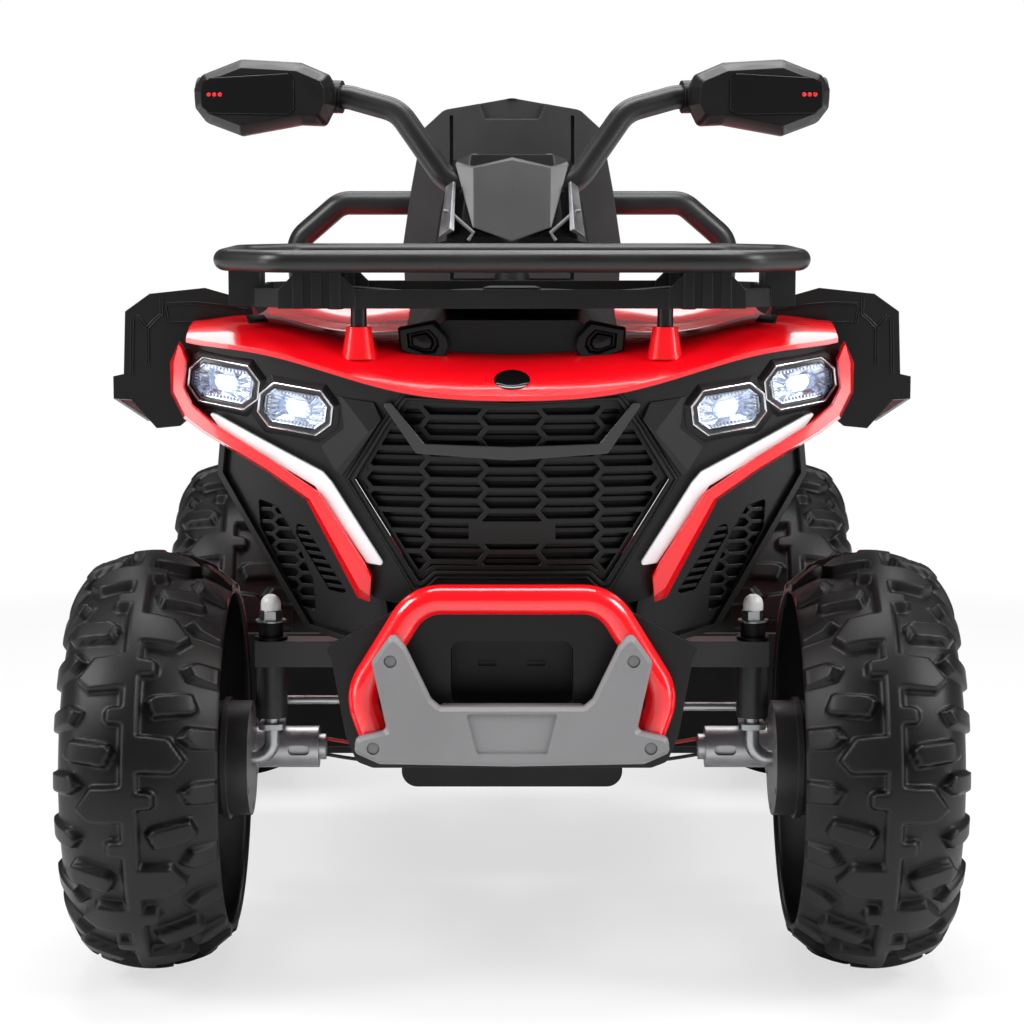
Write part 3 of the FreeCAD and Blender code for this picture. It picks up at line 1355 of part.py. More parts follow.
def flare():
    """Wheel flare: a folded cap over the tyre, closed in front, open below and behind."""
    y0 = front(hood_wing_y + panel_gap)
    y1 = front(190)
    points = lifted(flare_outline)
    lower = [(x - 6 if x > 300 else x, z - 34) for x, z in points]
    skin = loft([outline(points, "front", y0), outline(lower, "front", y1)], True)
    inner = inset(points, panel_wall)
    inner = [(x, z - 40 if z < up(310) else z) for x, z in inner]
    inner_low = [(x - 6 if x > 300 else x, z - 34) for x, z in inner]
    hollow = loft([outline(inner, "front", y0 + panel_wall), outline(inner_low, "front", y1 + 1)], True)
    return largest(skin.cut(hollow))


def flares():
    """Front flares, and rear ones that are the same moulding set further out and lower."""
    cap = flare()
    save("front_flares", pair(cap))
    cap.translate(rear_flare_shift)
    save("rear_flares", pair(cap))


def footboards():
    """Ribbed footboard on each side of the tub, turned up in front; the right one carries the pedal ears."""
    low = up(tub_floor)
    y0 = front(foot_front)
    y1 = back(foot_rear)
    x0 = tub_half_width + panel_gap / 4
    plan = [(x0, y0), (foot_reach - 30, y0), (foot_reach, y0 + 40), (foot_reach, y1), (x0, y1)]
    board = prism(plan, "plan", low, low + 6)
    toe = prism([(y0, low), (y0 + 6, low), (y0 + 30, low + 110), (y0 + 24, low + 110)], "side",
                x0 + side_panel_depth + panel_gap, foot_reach - 40)
    kerb = box(foot_reach - 8, foot_reach, y0 + 44, y1, low, low + 20)
    ribs = []
    for i in range(5):
        x = x0 + 34 + 30 * i
        ribs.append(box(x, x + 8, y0 + 130, y1 - 24, low + 5, low + 9))
    board = join(board, toe, kerb, *ribs)
    left = board
    right = flip(board)
    ears = []
    for x in (-pedal_x - pedal_half - 5, -pedal_x + pedal_half + 1):
        ears.append(prism([(pedal_y - 12, low + 5), (pedal_y + 12, low + 5), (pedal_y + 6, low + 26),
                           (pedal_y - 6, low + 26)], "side", x, x + 4, 4.0))
    pin = rod(Vec(-pedal_x - pedal_half - 4, pedal_y, low + 18), Vec(-pedal_x + pedal_half + 4, pedal_y, low + 18), 2.5)
    save("footboards", Part.makeCompound([left, join(right, *ears, pin)]))
    barrel = rod(Vec(-pedal_x - pedal_half, pedal_y, low + 18), Vec(-pedal_x + pedal_half, pedal_y, low + 18), 5.5)
    plate = prism([(pedal_y - 2, low + 14), (pedal_y + 1, low + 20), (pedal_y - 74, low + 76),
                   (pedal_y - 79, low + 71)], "side", -pedal_x - pedal_half, -pedal_x + pedal_half)
    pedal = join(plate, barrel)
    for i in range(5):
        y = pedal_y - 18 - 11 * i
        z = low + 31 + 8.4 * i
        pedal = pedal.fuse(rod(Vec(-pedal_x - pedal_half + 4, y, z), Vec(-pedal_x + pedal_half - 4, y, z), 3.0))
    pedal = pedal.cut(rod(Vec(-400, pedal_y, low + 18), Vec(0, pedal_y, low + 18), 2.5 + running_gap))
    save("accelerator_pedal", largest(pedal.removeSplitter()))


def side_panels():
    """Red cover on each side, from the hood's wing down to the footboard."""
    points = [(front(112), up(344)), (front(232), up(306)), (front(330), up(222)), (front(470), up(196)),
              (front(470), up(10)), (front(430), up(-38)), (front(232), up(-38)), (front(214), up(60)),
              (front(150), up(170))]
    x0 = tub_half_width + panel_gap / 4
    base = prism(points, "side", x0, x0 + 5, 14.0)
    swell = loft([outline(inset(points, 12), "side", x0 + 5, 12.0),
                  outline(inset(points, 26), "side", x0 + side_panel_depth, 10.0)], True)
    save("side_panels", pair(join(base, swell)))


def main():
    """Make the folder and every piece."""
    os.makedirs("parts", exist_ok=True)
    wheels()
    front_beam()
    bushes()
    knuckles()
    front_drives()
    tie_rods()
    column()
    handlebar()
    hand_guards()
    pod()
    fascia()
    grille()
    side_ducts()
    lamps()
    trims()
    hood()
    tank()
    rack()
    bumper()
    frame()
    swing_arm()
    rear_drives()
    springs()
    tub()
    centre_body()
    seat()
    rear_panels()
    flares()
    footboards()
    side_panels()


main()
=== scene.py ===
import json
import math
import bmesh
import bpy
import numpy as np
from bpy.props import FloatProperty, FloatVectorProperty, IntProperty, PointerProperty
from bpy.types import Operator, Panel, PropertyGroup
from functools import partial
from mathutils.bvhtree import BVHTree
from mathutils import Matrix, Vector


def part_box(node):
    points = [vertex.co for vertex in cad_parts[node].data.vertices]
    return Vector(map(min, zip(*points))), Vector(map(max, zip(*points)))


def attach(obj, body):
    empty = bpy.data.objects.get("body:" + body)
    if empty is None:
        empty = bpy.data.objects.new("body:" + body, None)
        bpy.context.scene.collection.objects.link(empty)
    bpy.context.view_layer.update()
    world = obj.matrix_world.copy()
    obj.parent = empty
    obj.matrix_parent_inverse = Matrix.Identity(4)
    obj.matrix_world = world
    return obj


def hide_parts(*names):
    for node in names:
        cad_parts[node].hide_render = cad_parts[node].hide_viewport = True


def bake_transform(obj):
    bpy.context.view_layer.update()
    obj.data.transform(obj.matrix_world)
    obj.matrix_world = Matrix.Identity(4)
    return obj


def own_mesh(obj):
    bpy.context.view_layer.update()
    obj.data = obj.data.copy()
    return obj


bl_info = {
    "name": "Kids quad bike",
    "version": (1, 0, 0),
    "blender": (4, 5, 0),
    "location": "3D View > Sidebar > Quad",
    "description": "Dresses the quad bike's solids with its moulded tyres, lamps, leads and finishes",
    "category": "Object",
}

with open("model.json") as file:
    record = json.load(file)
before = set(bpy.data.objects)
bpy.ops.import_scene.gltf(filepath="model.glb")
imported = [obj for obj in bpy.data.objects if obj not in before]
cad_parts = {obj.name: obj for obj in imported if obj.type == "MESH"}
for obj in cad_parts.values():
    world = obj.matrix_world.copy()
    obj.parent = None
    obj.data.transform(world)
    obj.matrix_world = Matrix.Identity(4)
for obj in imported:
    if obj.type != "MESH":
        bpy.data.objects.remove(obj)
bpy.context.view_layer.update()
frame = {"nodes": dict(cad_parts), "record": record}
nodes = frame["nodes"]
body_of = {node: body for body, members in frame["record"]["behaviour"]["bodies"].items() for node in members}
side_signs = {"left": 1, "right": -1}

# Pieces are drawn in mm. Settings, finishes and the stage are in metres. The rider's left is +X, ahead is -Y.
MM = 0.001


def tint(name, description, default):
    """Setting that holds a colour."""
    return FloatVectorProperty(name=name, description=description, subtype="COLOR", default=default)


def distance(name, description, default):
    """Setting that holds a length in metres."""
    return FloatProperty(name=name, description=description, default=default, unit="LENGTH")


def number(name, description, default):
    """Setting that holds a plain number."""
    return FloatProperty(name=name, description=description, default=default)


class QuadFinishes(PropertyGroup):
    red: tint("Red", "Glossy body panels", (0.84, 0.0026, 0.0085))
    black: tint("Black", "Grained plastic panels", (0.0046, 0.0046, 0.0048))
    tube: tint("Tube black", "Satin tubes", (0.009, 0.009, 0.0095))
    tyre: tint("Tyre black", "Moulded tyres", (0.0042, 0.0042, 0.0044))
    grey: tint("Grey", "Skid plate", (0.185, 0.185, 0.19))
    shield: tint("Shield", "Dash pod shield", (0.042, 0.042, 0.044))
    silver: tint("Silver", "Painted trims and motor cans", (0.50, 0.50, 0.52))
    milk: tint("Milk", "White light bars", (0.80, 0.81, 0.83))
    glow: tint("Glow", "Light of the lamps", (0.86, 0.92, 1.0))


class QuadTyre(PropertyGroup):
    radius: distance("Radius", "Over the lugs", 0.178)
    width: distance("Width", "Lip to outer wall", 0.136)
    lug: distance("Lug height", "Lugs above the carcass", 0.009)
    slope: distance("Lug slope", "Run of a lug's side", 0.0030)
    shoulder: number("Shoulder wear", "Share of the lug height lost at the shoulders", 0.5)
    pitches: IntProperty(name="Pitches", description="Repeats of the tread round the tyre", default=10)
    columns: IntProperty(name="Columns", description="Mesh columns in one repeat", default=66)
    rows: IntProperty(name="Rows", description="Mesh rows across the tread", default=100)


class QuadStage(PropertyGroup):
    camera_away: distance("Camera distance", "Ahead of the origin", 2.62)
    camera_height: distance("Camera height", "Above the floor", 0.67)
    camera_pitch: FloatProperty(name="Camera pitch", description="Below level", default=math.radians(7.1),
                                subtype="ANGLE")
    fill: number("Fill", "Light from all round on matt faces", 0.34)
    mirror: number("Mirror", "Surroundings in glossy faces", 0.12)
    floor_white: number("Floor white", "Share of plain white that the camera sees in the floor", 0.66)
    floor_fade: distance("Floor fade", "Where the floor starts to fade to white", 0.9)
    floor_end: distance("Floor end", "Where the floor is white", 1.9)
    lens: number("Lens", "Focal length in mm on a 36 mm sensor", 94.2)


# Meshes

merge_distance = 2e-6
weld_distance = 1e-7
solid_sharp = math.radians(32.0)


def grid_quads(rows, columns, wrap_rows, wrap_columns):
    """Vertex numbers of the quads of a grid, whose edges may join up."""
    r = np.arange(rows if wrap_rows else rows - 1)
    c = np.arange(columns if wrap_columns else columns - 1)
    r, c = np.meshgrid(r, c, indexing="ij")
    r1 = (r + 1) % rows
    c1 = (c + 1) % columns
    quads = np.stack([r * columns + c, r * columns + c1, r1 * columns + c1, r1 * columns + c], axis=-1)
    return quads.reshape(-1, 4)


def mesh_piece(name, points, quads, material, node=None):
    """Object at the origin from an array of points and an array of quads."""
    mesh = bpy.data.meshes.new(name)
    mesh.vertices.add(len(points))
    mesh.vertices.foreach_set("co", np.asarray(points, np.float32).ravel())
    sides = quads.shape[1]
    mesh.loops.add(len(quads) * sides)
    mesh.loops.foreach_set("vertex_index", quads.astype(np.int32).ravel())
    mesh.polygons.add(len(quads))
    mesh.polygons.foreach_set("loop_start", np.arange(0, len(quads) * sides, sides, dtype=np.int32))
    mesh.polygons.foreach_set("loop_total", np.full(len(quads), sides, np.int32))
    mesh.update(calc_edges=True)
    mesh.shade_smooth()
    mesh.materials.append(material)
    piece = bpy.data.objects.new(name, mesh)
    bpy.context.scene.collection.objects.link(piece)
    if node:
        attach(piece, body_of[node])
        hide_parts(node)
    return piece


def grid_piece(name, grid, wrap_rows, wrap_columns, material, node=None):
    """Object from a grid of points, rows by columns by three."""
    quads = grid_quads(*grid.shape[:2], wrap_rows, wrap_columns)
    return mesh_piece(name, grid.reshape(-1, 3), quads, material, node)


def smooth_line(points, samples):
    """Catmull-Rom line: each span is the cubic through its two points, with slopes from the points beside."""
    p = np.asarray(points, float)
    p = np.vstack([2 * p[0] - p[1], p, 2 * p[-1] - p[-2]])
    t = np.linspace(0, len(points) - 1, samples)
    i = np.minimum(t.astype(int), len(points) - 2)
    f = (t - i)[:, None]
    a, b, c, d = p[i], p[i + 1], p[i + 2], p[i + 3]
    square = (2 * a - 5 * b + 4 * c - d) * f ** 2
    cube = (3 * b - a - 3 * c + d) * f ** 3
    return 0.5 * (2 * b + (c - a) * f + square + cube)


def tube_grid(line, radius, sides):
    """Round tube: rings square to a line, each turned as little as it can be, with a point at each end."""
    way = np.gradient(line, axis=0)
    way /= np.linalg.norm(way, axis=1)[:, None]
    side = np.cross(way[0], (0.31, 0.17, 0.93))
    turn = np.linspace(0, 2 * math.pi, sides, endpoint=False)[:, None]
    rings = []
    for point, ahead in zip(line, way):
        side = side - ahead * side.dot(ahead)
        side /= np.linalg.norm(side)
        rings.append(point + radius * (np.cos(turn) * side + np.sin(turn) * np.cross(ahead, side)))
    ends = [np.repeat(line[:1], sides, axis=0), np.repeat(line[-1:], sides, axis=0)]
    return np.array(ends[:1] + rings + ends[1:])


def lead_line(points, resolution):
    """Smooth line of a lead: the NURBS spline of order 3 whose control points are the route's points."""
    curve = bpy.data.curves.new("route", "CURVE")
    curve.dimensions = "3D"
    curve.resolution_u = resolution
    spline = curve.splines.new("NURBS")
    spline.points.add(len(points) - 1)
    for control, spot in zip(spline.points, points):
        control.co = (*spot, 1)
    spline.order_u = 3
    spline.use_endpoint_u = True
    route = bpy.data.objects.new("route", curve)
    mesh = bpy.data.meshes.new_from_object(route)
    line = np.array([vert.co for vert in mesh.vertices])
    bpy.data.meshes.remove(mesh)
    bpy.data.objects.remove(route)
    bpy.data.curves.remove(curve)
    return line


def dressed(node, material):
    """Copy of a solid that stands for it, with its corners merged, shaded smooth up to a sharp angle."""
    work = bmesh.new()
    work.from_mesh(nodes[node].data)
    bmesh.ops.remove_doubles(work, verts=work.verts, dist=merge_distance)
    bmesh.ops.triangulate(work, faces=work.faces)
    work.verts.index_update()
    points = np.array([vert.co for vert in work.verts])
    sides = np.array([[vert.index for vert in face.verts] for face in work.faces])
    work.free()
    piece = mesh_piece(node + "_shell", points, sides, material, node)
    piece.data.set_sharp_from_angle(angle=solid_sharp)
    return piece


# Finishes

def blank(name):
    """New node material, with its tree and its shader."""
    material = bpy.data.materials.new(name)
    material.use_nodes = True
    tree = material.node_tree
    return material, tree, tree.nodes["Principled BSDF"]


def add(tree, kind, **sockets):
    """One node with some of its inputs set or linked."""
    node = tree.nodes.new(kind)
    for key, value in sockets.items():
        socket = node.inputs[key.replace("_", " ")]
        if isinstance(value, bpy.types.NodeSocket):
            tree.links.new(value, socket)
        else:
            socket.default_value = value
    return node


def place(tree, scale=(1, 1, 1)):
    """Object coordinates, stretched."""
    coords = tree.nodes.new("ShaderNodeTexCoord")
    mapping = add(tree, "ShaderNodeMapping", Vector=coords.outputs["Object"], Scale=scale)
    return mapping.outputs["Vector"]


def spread(tree, value, low, high, start=0.3, end=0.7):
    """Map a noise value to a range."""
    node = add(tree, "ShaderNodeMapRange", Value=value)
    for name, number in (("From Min", start), ("From Max", end), ("To Min", low), ("To Max", high)):
        node.inputs[name].default_value = number
    return node.outputs["Result"]


def shades(tree, value, colour, dark, light):
    """Colour that drifts between a darker and a lighter shade of itself."""
    ramp = tree.nodes.new("ShaderNodeValToRGB")
    ramp.color_ramp.elements[0].position = 0.3
    ramp.color_ramp.elements[1].position = 0.7
    ramp.color_ramp.elements[0].color = [c * dark for c in colour] + [1]
    ramp.color_ramp.elements[1].color = [min(1.0, c * light) for c in colour] + [1]
    tree.links.new(value, ramp.inputs["Fac"])
    return ramp.outputs["Color"]


def soft_edge(tree, radius):
    """Rounded look of a moulded edge."""
    node = add(tree, "ShaderNodeBevel", Radius=radius)
    node.samples = 4
    return node.outputs["Normal"]


def plastic(name, colour, rough, grain, grain_size, edge=0.0012, drift=(0.86, 1.16), spec=0.5):
    """Moulded plastic: a fine grain in the bump, and colour and gloss that drift over a hand's width."""
    material, tree, shader = blank(name)
    wide = add(tree, "ShaderNodeTexNoise", Vector=place(tree), Scale=14.0, Detail=3.0)
    fine = add(tree, "ShaderNodeTexNoise", Vector=place(tree), Scale=1.0 / grain_size, Detail=2.0)
    tree.links.new(shades(tree, wide.outputs["Fac"], colour, *drift), shader.inputs["Base Color"])
    tree.links.new(spread(tree, wide.outputs["Fac"], rough - 0.05, rough + 0.06), shader.inputs["Roughness"])
    bump = add(tree, "ShaderNodeBump", Height=fine.outputs["Fac"], Strength=grain, Distance=0.0004,
               Normal=soft_edge(tree, edge))
    tree.links.new(bump.outputs["Normal"], shader.inputs["Normal"])
    shader.inputs["Specular IOR Level"].default_value = spec
    return material


def gloss(name, colour, rough, coat):
    """Glossy moulding under a clear coat, with a faint orange peel."""
    material, tree, shader = blank(name)
    wide = add(tree, "ShaderNodeTexNoise", Vector=place(tree), Scale=9.0, Detail=2.0)
    peel = add(tree, "ShaderNodeTexNoise", Vector=place(tree), Scale=260.0, Detail=1.0)
    tree.links.new(shades(tree, wide.outputs["Fac"], colour, 0.93, 1.06), shader.inputs["Base Color"])
    tree.links.new(spread(tree, wide.outputs["Fac"], rough - 0.03, rough + 0.05), shader.inputs["Roughness"])
    bump = add(tree, "ShaderNodeBump", Height=peel.outputs["Fac"], Strength=0.03, Distance=0.0004,
               Normal=soft_edge(tree, 0.0015))
    tree.links.new(bump.outputs["Normal"], shader.inputs["Normal"])
    shader.inputs["Coat Weight"].default_value = coat
    shader.inputs["Coat Roughness"].default_value = 0.06
    return material


def metal(name, colour, rough, stretch):
    """Bare or plated metal with drawn lines along one axis and a drift of gloss."""
    material, tree, shader = blank(name)
    lines = add(tree, "ShaderNodeTexNoise", Vector=place(tree, stretch), Scale=60.0, Detail=4.0)
    tree.links.new(shades(tree, lines.outputs["Fac"], colour, 0.8, 1.12), shader.inputs["Base Color"])
    tree.links.new(spread(tree, lines.outputs["Fac"], rough - 0.08, rough + 0.1), shader.inputs["Roughness"])
    bump = add(tree, "ShaderNodeBump", Height=lines.outputs["Fac"], Strength=0.08, Distance=0.0003,
               Normal=soft_edge(tree, 0.0008))
    tree.links.new(bump.outputs["Normal"], shader.inputs["Normal"])
    shader.inputs["Metallic"].default_value = 1.0
    return material


def clear(name, colour, rough):
    """Clear moulding with fine prism lines."""
    material, tree, shader = blank(name)
    prisms = add(tree, "ShaderNodeTexVoronoi", Vector=place(tree), Scale=210.0)
    bump = add(tree, "ShaderNodeBump", Height=prisms.outputs["Distance"], Strength=0.06, Distance=0.0006)
    tree.links.new(bump.outputs["Normal"], shader.inputs["Normal"])
    drift = add(tree, "ShaderNodeTexNoise", Vector=place(tree), Scale=40.0)
    tree.links.new(shades(tree, drift.outputs["Fac"], colour, 0.94, 1.0), shader.inputs["Base Color"])
    shader.inputs["Roughness"].default_value = rough
    shader.inputs["Transmission Weight"].default_value = 1.0
    shader.inputs["IOR"].default_value = 1.45
    return material


def glow(name, colour, strength):
    """Lit diffuser, a little brighter and dimmer in patches."""
    material, tree, shader = blank(name)
    drift = add(tree, "ShaderNodeTexNoise", Vector=place(tree), Scale=120.0)
    tone = shades(tree, drift.outputs["Fac"], colour, 0.9, 1.0)
    tree.links.new(tone, shader.inputs["Base Color"])
    tree.links.new(tone, shader.inputs["Emission Color"])
    shader.inputs["Emission Strength"].default_value = strength
    shader.inputs["Roughness"].default_value = 0.3
    return material


def parted(name, axis, reach, seam, bright, plain, rough, scale, edge):
    """Bare metal up to a reach along an axis, from the middle or the floor, and plain plastic past it.
    Each is a colour with its darker and lighter shade, mottled by the same grime."""
    material, tree, shader = blank(name)
    coords = tree.nodes.new("ShaderNodeTexCoord")
    apart = add(tree, "ShaderNodeSeparateXYZ", Vector=coords.outputs["Object"])
    away = add(tree, "ShaderNodeMath")
    away.operation = "ABSOLUTE"
    tree.links.new(apart.outputs[axis], away.inputs[0])
    mask = spread(tree, away.outputs[0], 1.0, 0.0, reach - seam, reach + seam)
    grime = add(tree, "ShaderNodeTexNoise", Vector=place(tree), Scale=scale, Detail=4.0)
    mix = tree.nodes.new("ShaderNodeMix")
    mix.data_type = "RGBA"
    tree.links.new(mask, mix.inputs["Factor"])
    tree.links.new(shades(tree, grime.outputs["Fac"], *plain), mix.inputs[6])
    tree.links.new(shades(tree, grime.outputs["Fac"], *bright), mix.inputs[7])
    tree.links.new(mix.outputs[2], shader.inputs["Base Color"])
    tree.links.new(mask, shader.inputs["Metallic"])
    tree.links.new(spread(tree, grime.outputs["Fac"], *rough), shader.inputs["Roughness"])
    tree.links.new(soft_edge(tree, edge), shader.inputs["Normal"])
    return material


finish = {}


def make_finishes(tints):
    """Every finish of the quad, by name."""
    finish["red"] = gloss("red gloss", tints.red, 0.2, 0.7)
    finish["black"] = plastic("black grain", tints.black, 0.38, 0.16, 0.0009, spec=0.3)
    finish["satin"] = plastic("black satin tube", tints.tube, 0.36, 0.10, 0.0012, spec=0.42)
    finish["dark"] = plastic("dark inner plastic", tints.black, 0.55, 0.15, 0.0012, spec=0.2)
    finish["tyre"] = plastic("tyre", tints.tyre, 0.42, 0.24, 0.0011, 0.0014, (0.8, 1.3), 0.26)
    finish["rubber"] = plastic("soft rubber", tints.tyre, 0.62, 0.35, 0.0008)
    finish["piano"] = gloss("black gloss", (0.004, 0.004, 0.0045), 0.08, 0.5)
    finish["grey"] = plastic("grey satin", tints.grey, 0.42, 0.10, 0.0011, 0.0015, (0.93, 1.06))
    finish["shield"] = plastic("pod grey", tints.shield, 0.40, 0.14, 0.0011, 0.0015, (0.92, 1.08))
    finish["soft"] = plastic("soft black", (0.015, 0.0148, 0.0146), 0.55, 0.22, 0.0014, 0.002)
    finish["window"] = plastic("window frame", (0.11, 0.11, 0.112), 0.36, 0.08, 0.0011)
    finish["silver"] = metal("silver paint", tints.silver, 0.36, (1, 1, 1))
    finish["steel"] = metal("plated steel", (0.42, 0.43, 0.44), 0.36, (1, 1, 6))
    finish["chrome"] = metal("bright cup", (0.80, 0.82, 0.86), 0.16, (1, 1, 1))
    finish["facet"] = metal("blue reflector", (0.62, 0.70, 0.86), 0.2, (1, 1, 1))
    finish["milk"] = gloss("milky bar", tints.milk, 0.3, 0.4)
    finish["lens"] = clear("clear lens", (0.97, 0.98, 1.0), 0.02)
    finish["red lens"] = gloss("red lens", (0.42, 0.004, 0.006), 0.12, 0.8)
    finish["glow"] = glow("lamp core", tints.glow, 2.2)
    motor_can = (tints.silver, 0.8, 1.1)
    gearbox = ((0.02, 0.02, 0.021), 0.8, 1.2)
    for name, reach in (("front drive", 0.222), ("rear drive", 0.154)):
        finish[name] = parted(name, "X", reach, 0.0004, motor_can, gearbox, (0.36, 0.52), 50.0, 0.001)
    spindle_steel = ((0.40, 0.41, 0.42), 0.75, 1.1)
    spindle_cap = ((0.72, 0.72, 0.70), 0.92, 1.05)
    finish["spindle"] = parted("spindle and cap", "Z", 0.3062, 0.0002, spindle_steel, spindle_cap,
                               (0.26, 0.4), 90.0, 0.0008)
    finish["frame"] = plastic("black powder coat", (0.012, 0.012, 0.012), 0.42, 0.25, 0.0007)
    finish["lead red"] = plastic("red lead", (0.42, 0.01, 0.012), 0.4, 0.1, 0.002, 0.0004)
    finish["lead black"] = plastic("black lead", (0.012, 0.012, 0.012), 0.4, 0.1, 0.002, 0.0004)
    finish["rim"] = plastic("rim", (0.02, 0.02, 0.022), 0.42, 0.12, 0.001)


# Tyres

def blocks(u, v, points, slope):
    """Rise of one lug, 0 to 1: a smooth step of the distance to the convex outline's nearest side."""
    p = np.asarray(points, float)
    q = np.roll(p, -1, axis=0)
    area = np.sum(p[:, 0] * q[:, 1] - q[:, 0] * p[:, 1])
    if area < 0:
        p = p[::-1]
        q = np.roll(p, -1, axis=0)
    run = q - p
    length = np.hypot(run[:, 0], run[:, 1])
    normal = np.stack([run[:, 1] / length, -run[:, 0] / length], axis=-1)
    far = np.full(u.shape, -1e9)
    for (px, py), (nx, ny) in zip(p, normal):
        far = np.maximum(far, (u - px) * nx + (v - py) * ny)
    s = np.clip(0.5 - far / slope, 0, 1)
    return s * s * (3 - 2 * s)


tread_half_rib = 6.5
tread_stagger = 0.37
tread_phase = 0.14
tread_lugs = [
    (0.00, 1.0, [(4, -16), (30, -14), (42, 5), (33, 16), (4, 15)]),
    (0.34, 1.0, [(4, -7.5), (16, -7), (18.7, -4), (18.7, 4), (16, 7), (4, 7.5)]),
    (0.62, 0.95, [(13, -2), (17.5, -7), (46, -12), (51.5, 1), (48, 6.5), (18.5, 11.5)]),
    (0.33, 0.9, [(39, -4), (48, -11), (70, -12), (70, 9), (45, 7)]),
    (0.86, 0.9, [(38, 2), (45, -9), (70, -9), (70, 11), (47, 10)]),
]


def tread_rise(across, along, pitch, slope):
    """Rise of the tread, 0 to 1, by the distances across from the rib and round the tyre, in each pitch."""
    rib = np.clip(0.5 - (np.abs(across) - tread_half_rib) / slope, 0, 1)
    rise = rib * rib * (3 - 2 * rib)
    for side, stagger in ((1, tread_stagger), (-1, 0.0)):
        for place_share, height, points in tread_lugs:
            offset = along - (place_share + stagger + tread_phase) * pitch
            offset = (offset + pitch / 2) % pitch - pitch / 2
            rise = np.maximum(rise, height * blocks(across * side, offset, points, slope))
    return rise


tyre_outer = [(0.0, 144.5), (4.0, 147.5), (16, 154.5), (32, 162.0), (50, 167.2), (68, 169), (86, 167.2),
              (104, 161.8), (114, 156.8), (122, 149.0), (127.5, 141.0), (130.2, 133.0), (130.6, 124.0),
              (128, 112.0)]
tyre_inner = [(122, 112.0), (124.5, 122), (124.2, 132), (119, 143), (110, 151.5), (92, 159.5), (68, 163),
              (40, 159.5), (14, 148.5), (2.0, 140.5)]
tyre_inner_rows = 22
lug_foot_radius = 121.0
lug_foot_run = 8.0
lug_lip = 0.5
lug_lip_run = 3.0
shoulder_start = 44.0
shoulder_run = 18.0
wall_margin = 0.3


def tyre_grid(side, inner_x, axle_y, size):
    """Tyre: a closed wall profile turned about the axle, its outer skin raised along its normal by the tread.
    The lugs fade out at the lip and down the wall, and wear down towards the shoulders."""
    skin = smooth_line(tyre_outer, size.rows)
    inside = smooth_line(tyre_inner, tyre_inner_rows)
    tangent = np.gradient(skin, axis=0)
    tangent /= np.linalg.norm(tangent, axis=1)[:, None]
    normal = np.stack([-tangent[:, 1], tangent[:, 0]], axis=-1)
    count = size.pitches * size.columns
    turn = np.arange(count) * 2 * math.pi / count
    pitch = 2 * math.pi * size.radius / MM / size.pitches
    off_rib = skin[:, 0] - size.width / MM / 2
    along, across = np.meshgrid(np.arange(size.columns) * pitch / size.columns, off_rib, indexing="ij")
    rise = tread_rise(across, along, pitch, size.slope / MM)
    wall = np.clip((skin[:, 1] - lug_foot_radius) / lug_foot_run, 0, 1)
    worn = 1 - size.shoulder * np.clip((np.abs(off_rib) - shoulder_start) / shoulder_run, 0, 1)
    fade = np.clip((skin[:, 0] - lug_lip) / lug_lip_run, 0, 1) * wall * worn
    rise = np.tile(rise * fade * size.lug / MM, (size.pitches, 1))
    x = np.broadcast_to(skin[:, 0], rise.shape) + rise * normal[:, 0]
    r = np.broadcast_to(skin[:, 1], rise.shape) + rise * normal[:, 1]
    x = np.hstack([x, np.broadcast_to(inside[:, 0], (count, len(inside)))])
    r = np.hstack([r, np.broadcast_to(inside[:, 1], (count, len(inside)))])
    x = np.clip(x, 0, size.width / MM - wall_margin)
    r = np.minimum(r, size.radius / MM)
    points = np.stack([side * (inner_x + x * MM), axle_y - r * MM * np.sin(turn)[:, None],
                       size.radius + r * MM * np.cos(turn)[:, None]], axis=-1)
    return points if side < 0 else points[::-1]


axle_y = {"front": -370.0, "rear": 370.0}


class QUAD_OT_tyres(Operator):
    """Moulded tyres: a turned wall whose skin rises in a rib and lugs"""
    bl_idname = "quad.tyres"
    bl_label = "Tyres"

    def execute(self, context):
        size = context.scene.quad_tyre
        for end, y in axle_y.items():
            inner_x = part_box("tyre_%s_left" % end)[0][0]
            for name, side in side_signs.items():
                wheel = "%s_%s" % (end, name)
                grid = tyre_grid(side, inner_x, y * MM, size)
                grid_piece("tread_" + wheel, grid, True, True, finish["tyre"], "tyre_" + wheel)
                dressed("rim_" + wheel, finish["rim"])
        return {"FINISHED"}


class QUAD_OT_panels(Operator):
    """Body panels: red, black and grey mouldings"""
    bl_idname = "quad.panels"
    bl_label = "Body panels"

    def execute(self, context):
        for node in ("hood", "rear_body", "side_panels"):
            dressed(node, finish["red"])
        for node in ("front_fascia", "grille", "side_ducts", "tank_cover", "front_flares", "rear_flares",
                     "centre_body", "footboards", "floor_tub"):
            dressed(node, finish["black"])
        dressed("grille_bar", finish["piano"])
        return {"FINISHED"}


# Nose and lamps

nose_radius = 460.0
nose_front = -480.0
nose_height = 242.0
nose_slope = math.tan(math.radians(6.0))
axle_height = 178.0
lamp_centres = [(237.0, 325.0), (176.0, 306.5)]
lamp_turn = math.radians(8.0)
lamp_mouth = (26.0, 13.5, 7.5)
lamp_rings = [(1.0, -2.6, 0), (0.93, -3.2, 0), (0.90, -6.0, 0.5), (0.55, -9.0, 2.4), (0.50, -8.6, 2.4),
              (0.30, -11.5, 1.2), (0.02, -12.0, 0)]
core_half = (7.8, 5.8)
core_floor = -11.0
core_rise = 5.0
tooth_feet = -9.0
tooth_tops = -2.4
end_teeth = [(end * 22.6, v, 1.7, 0.65) for end in (-1, 1) for v in np.linspace(-9.0, 9.0, 8)]
long_teeth = [(u, end * 11.5, 0.7, 1.2) for end in (-1, 1) for u in np.linspace(-16.5, 16.5, 12)]


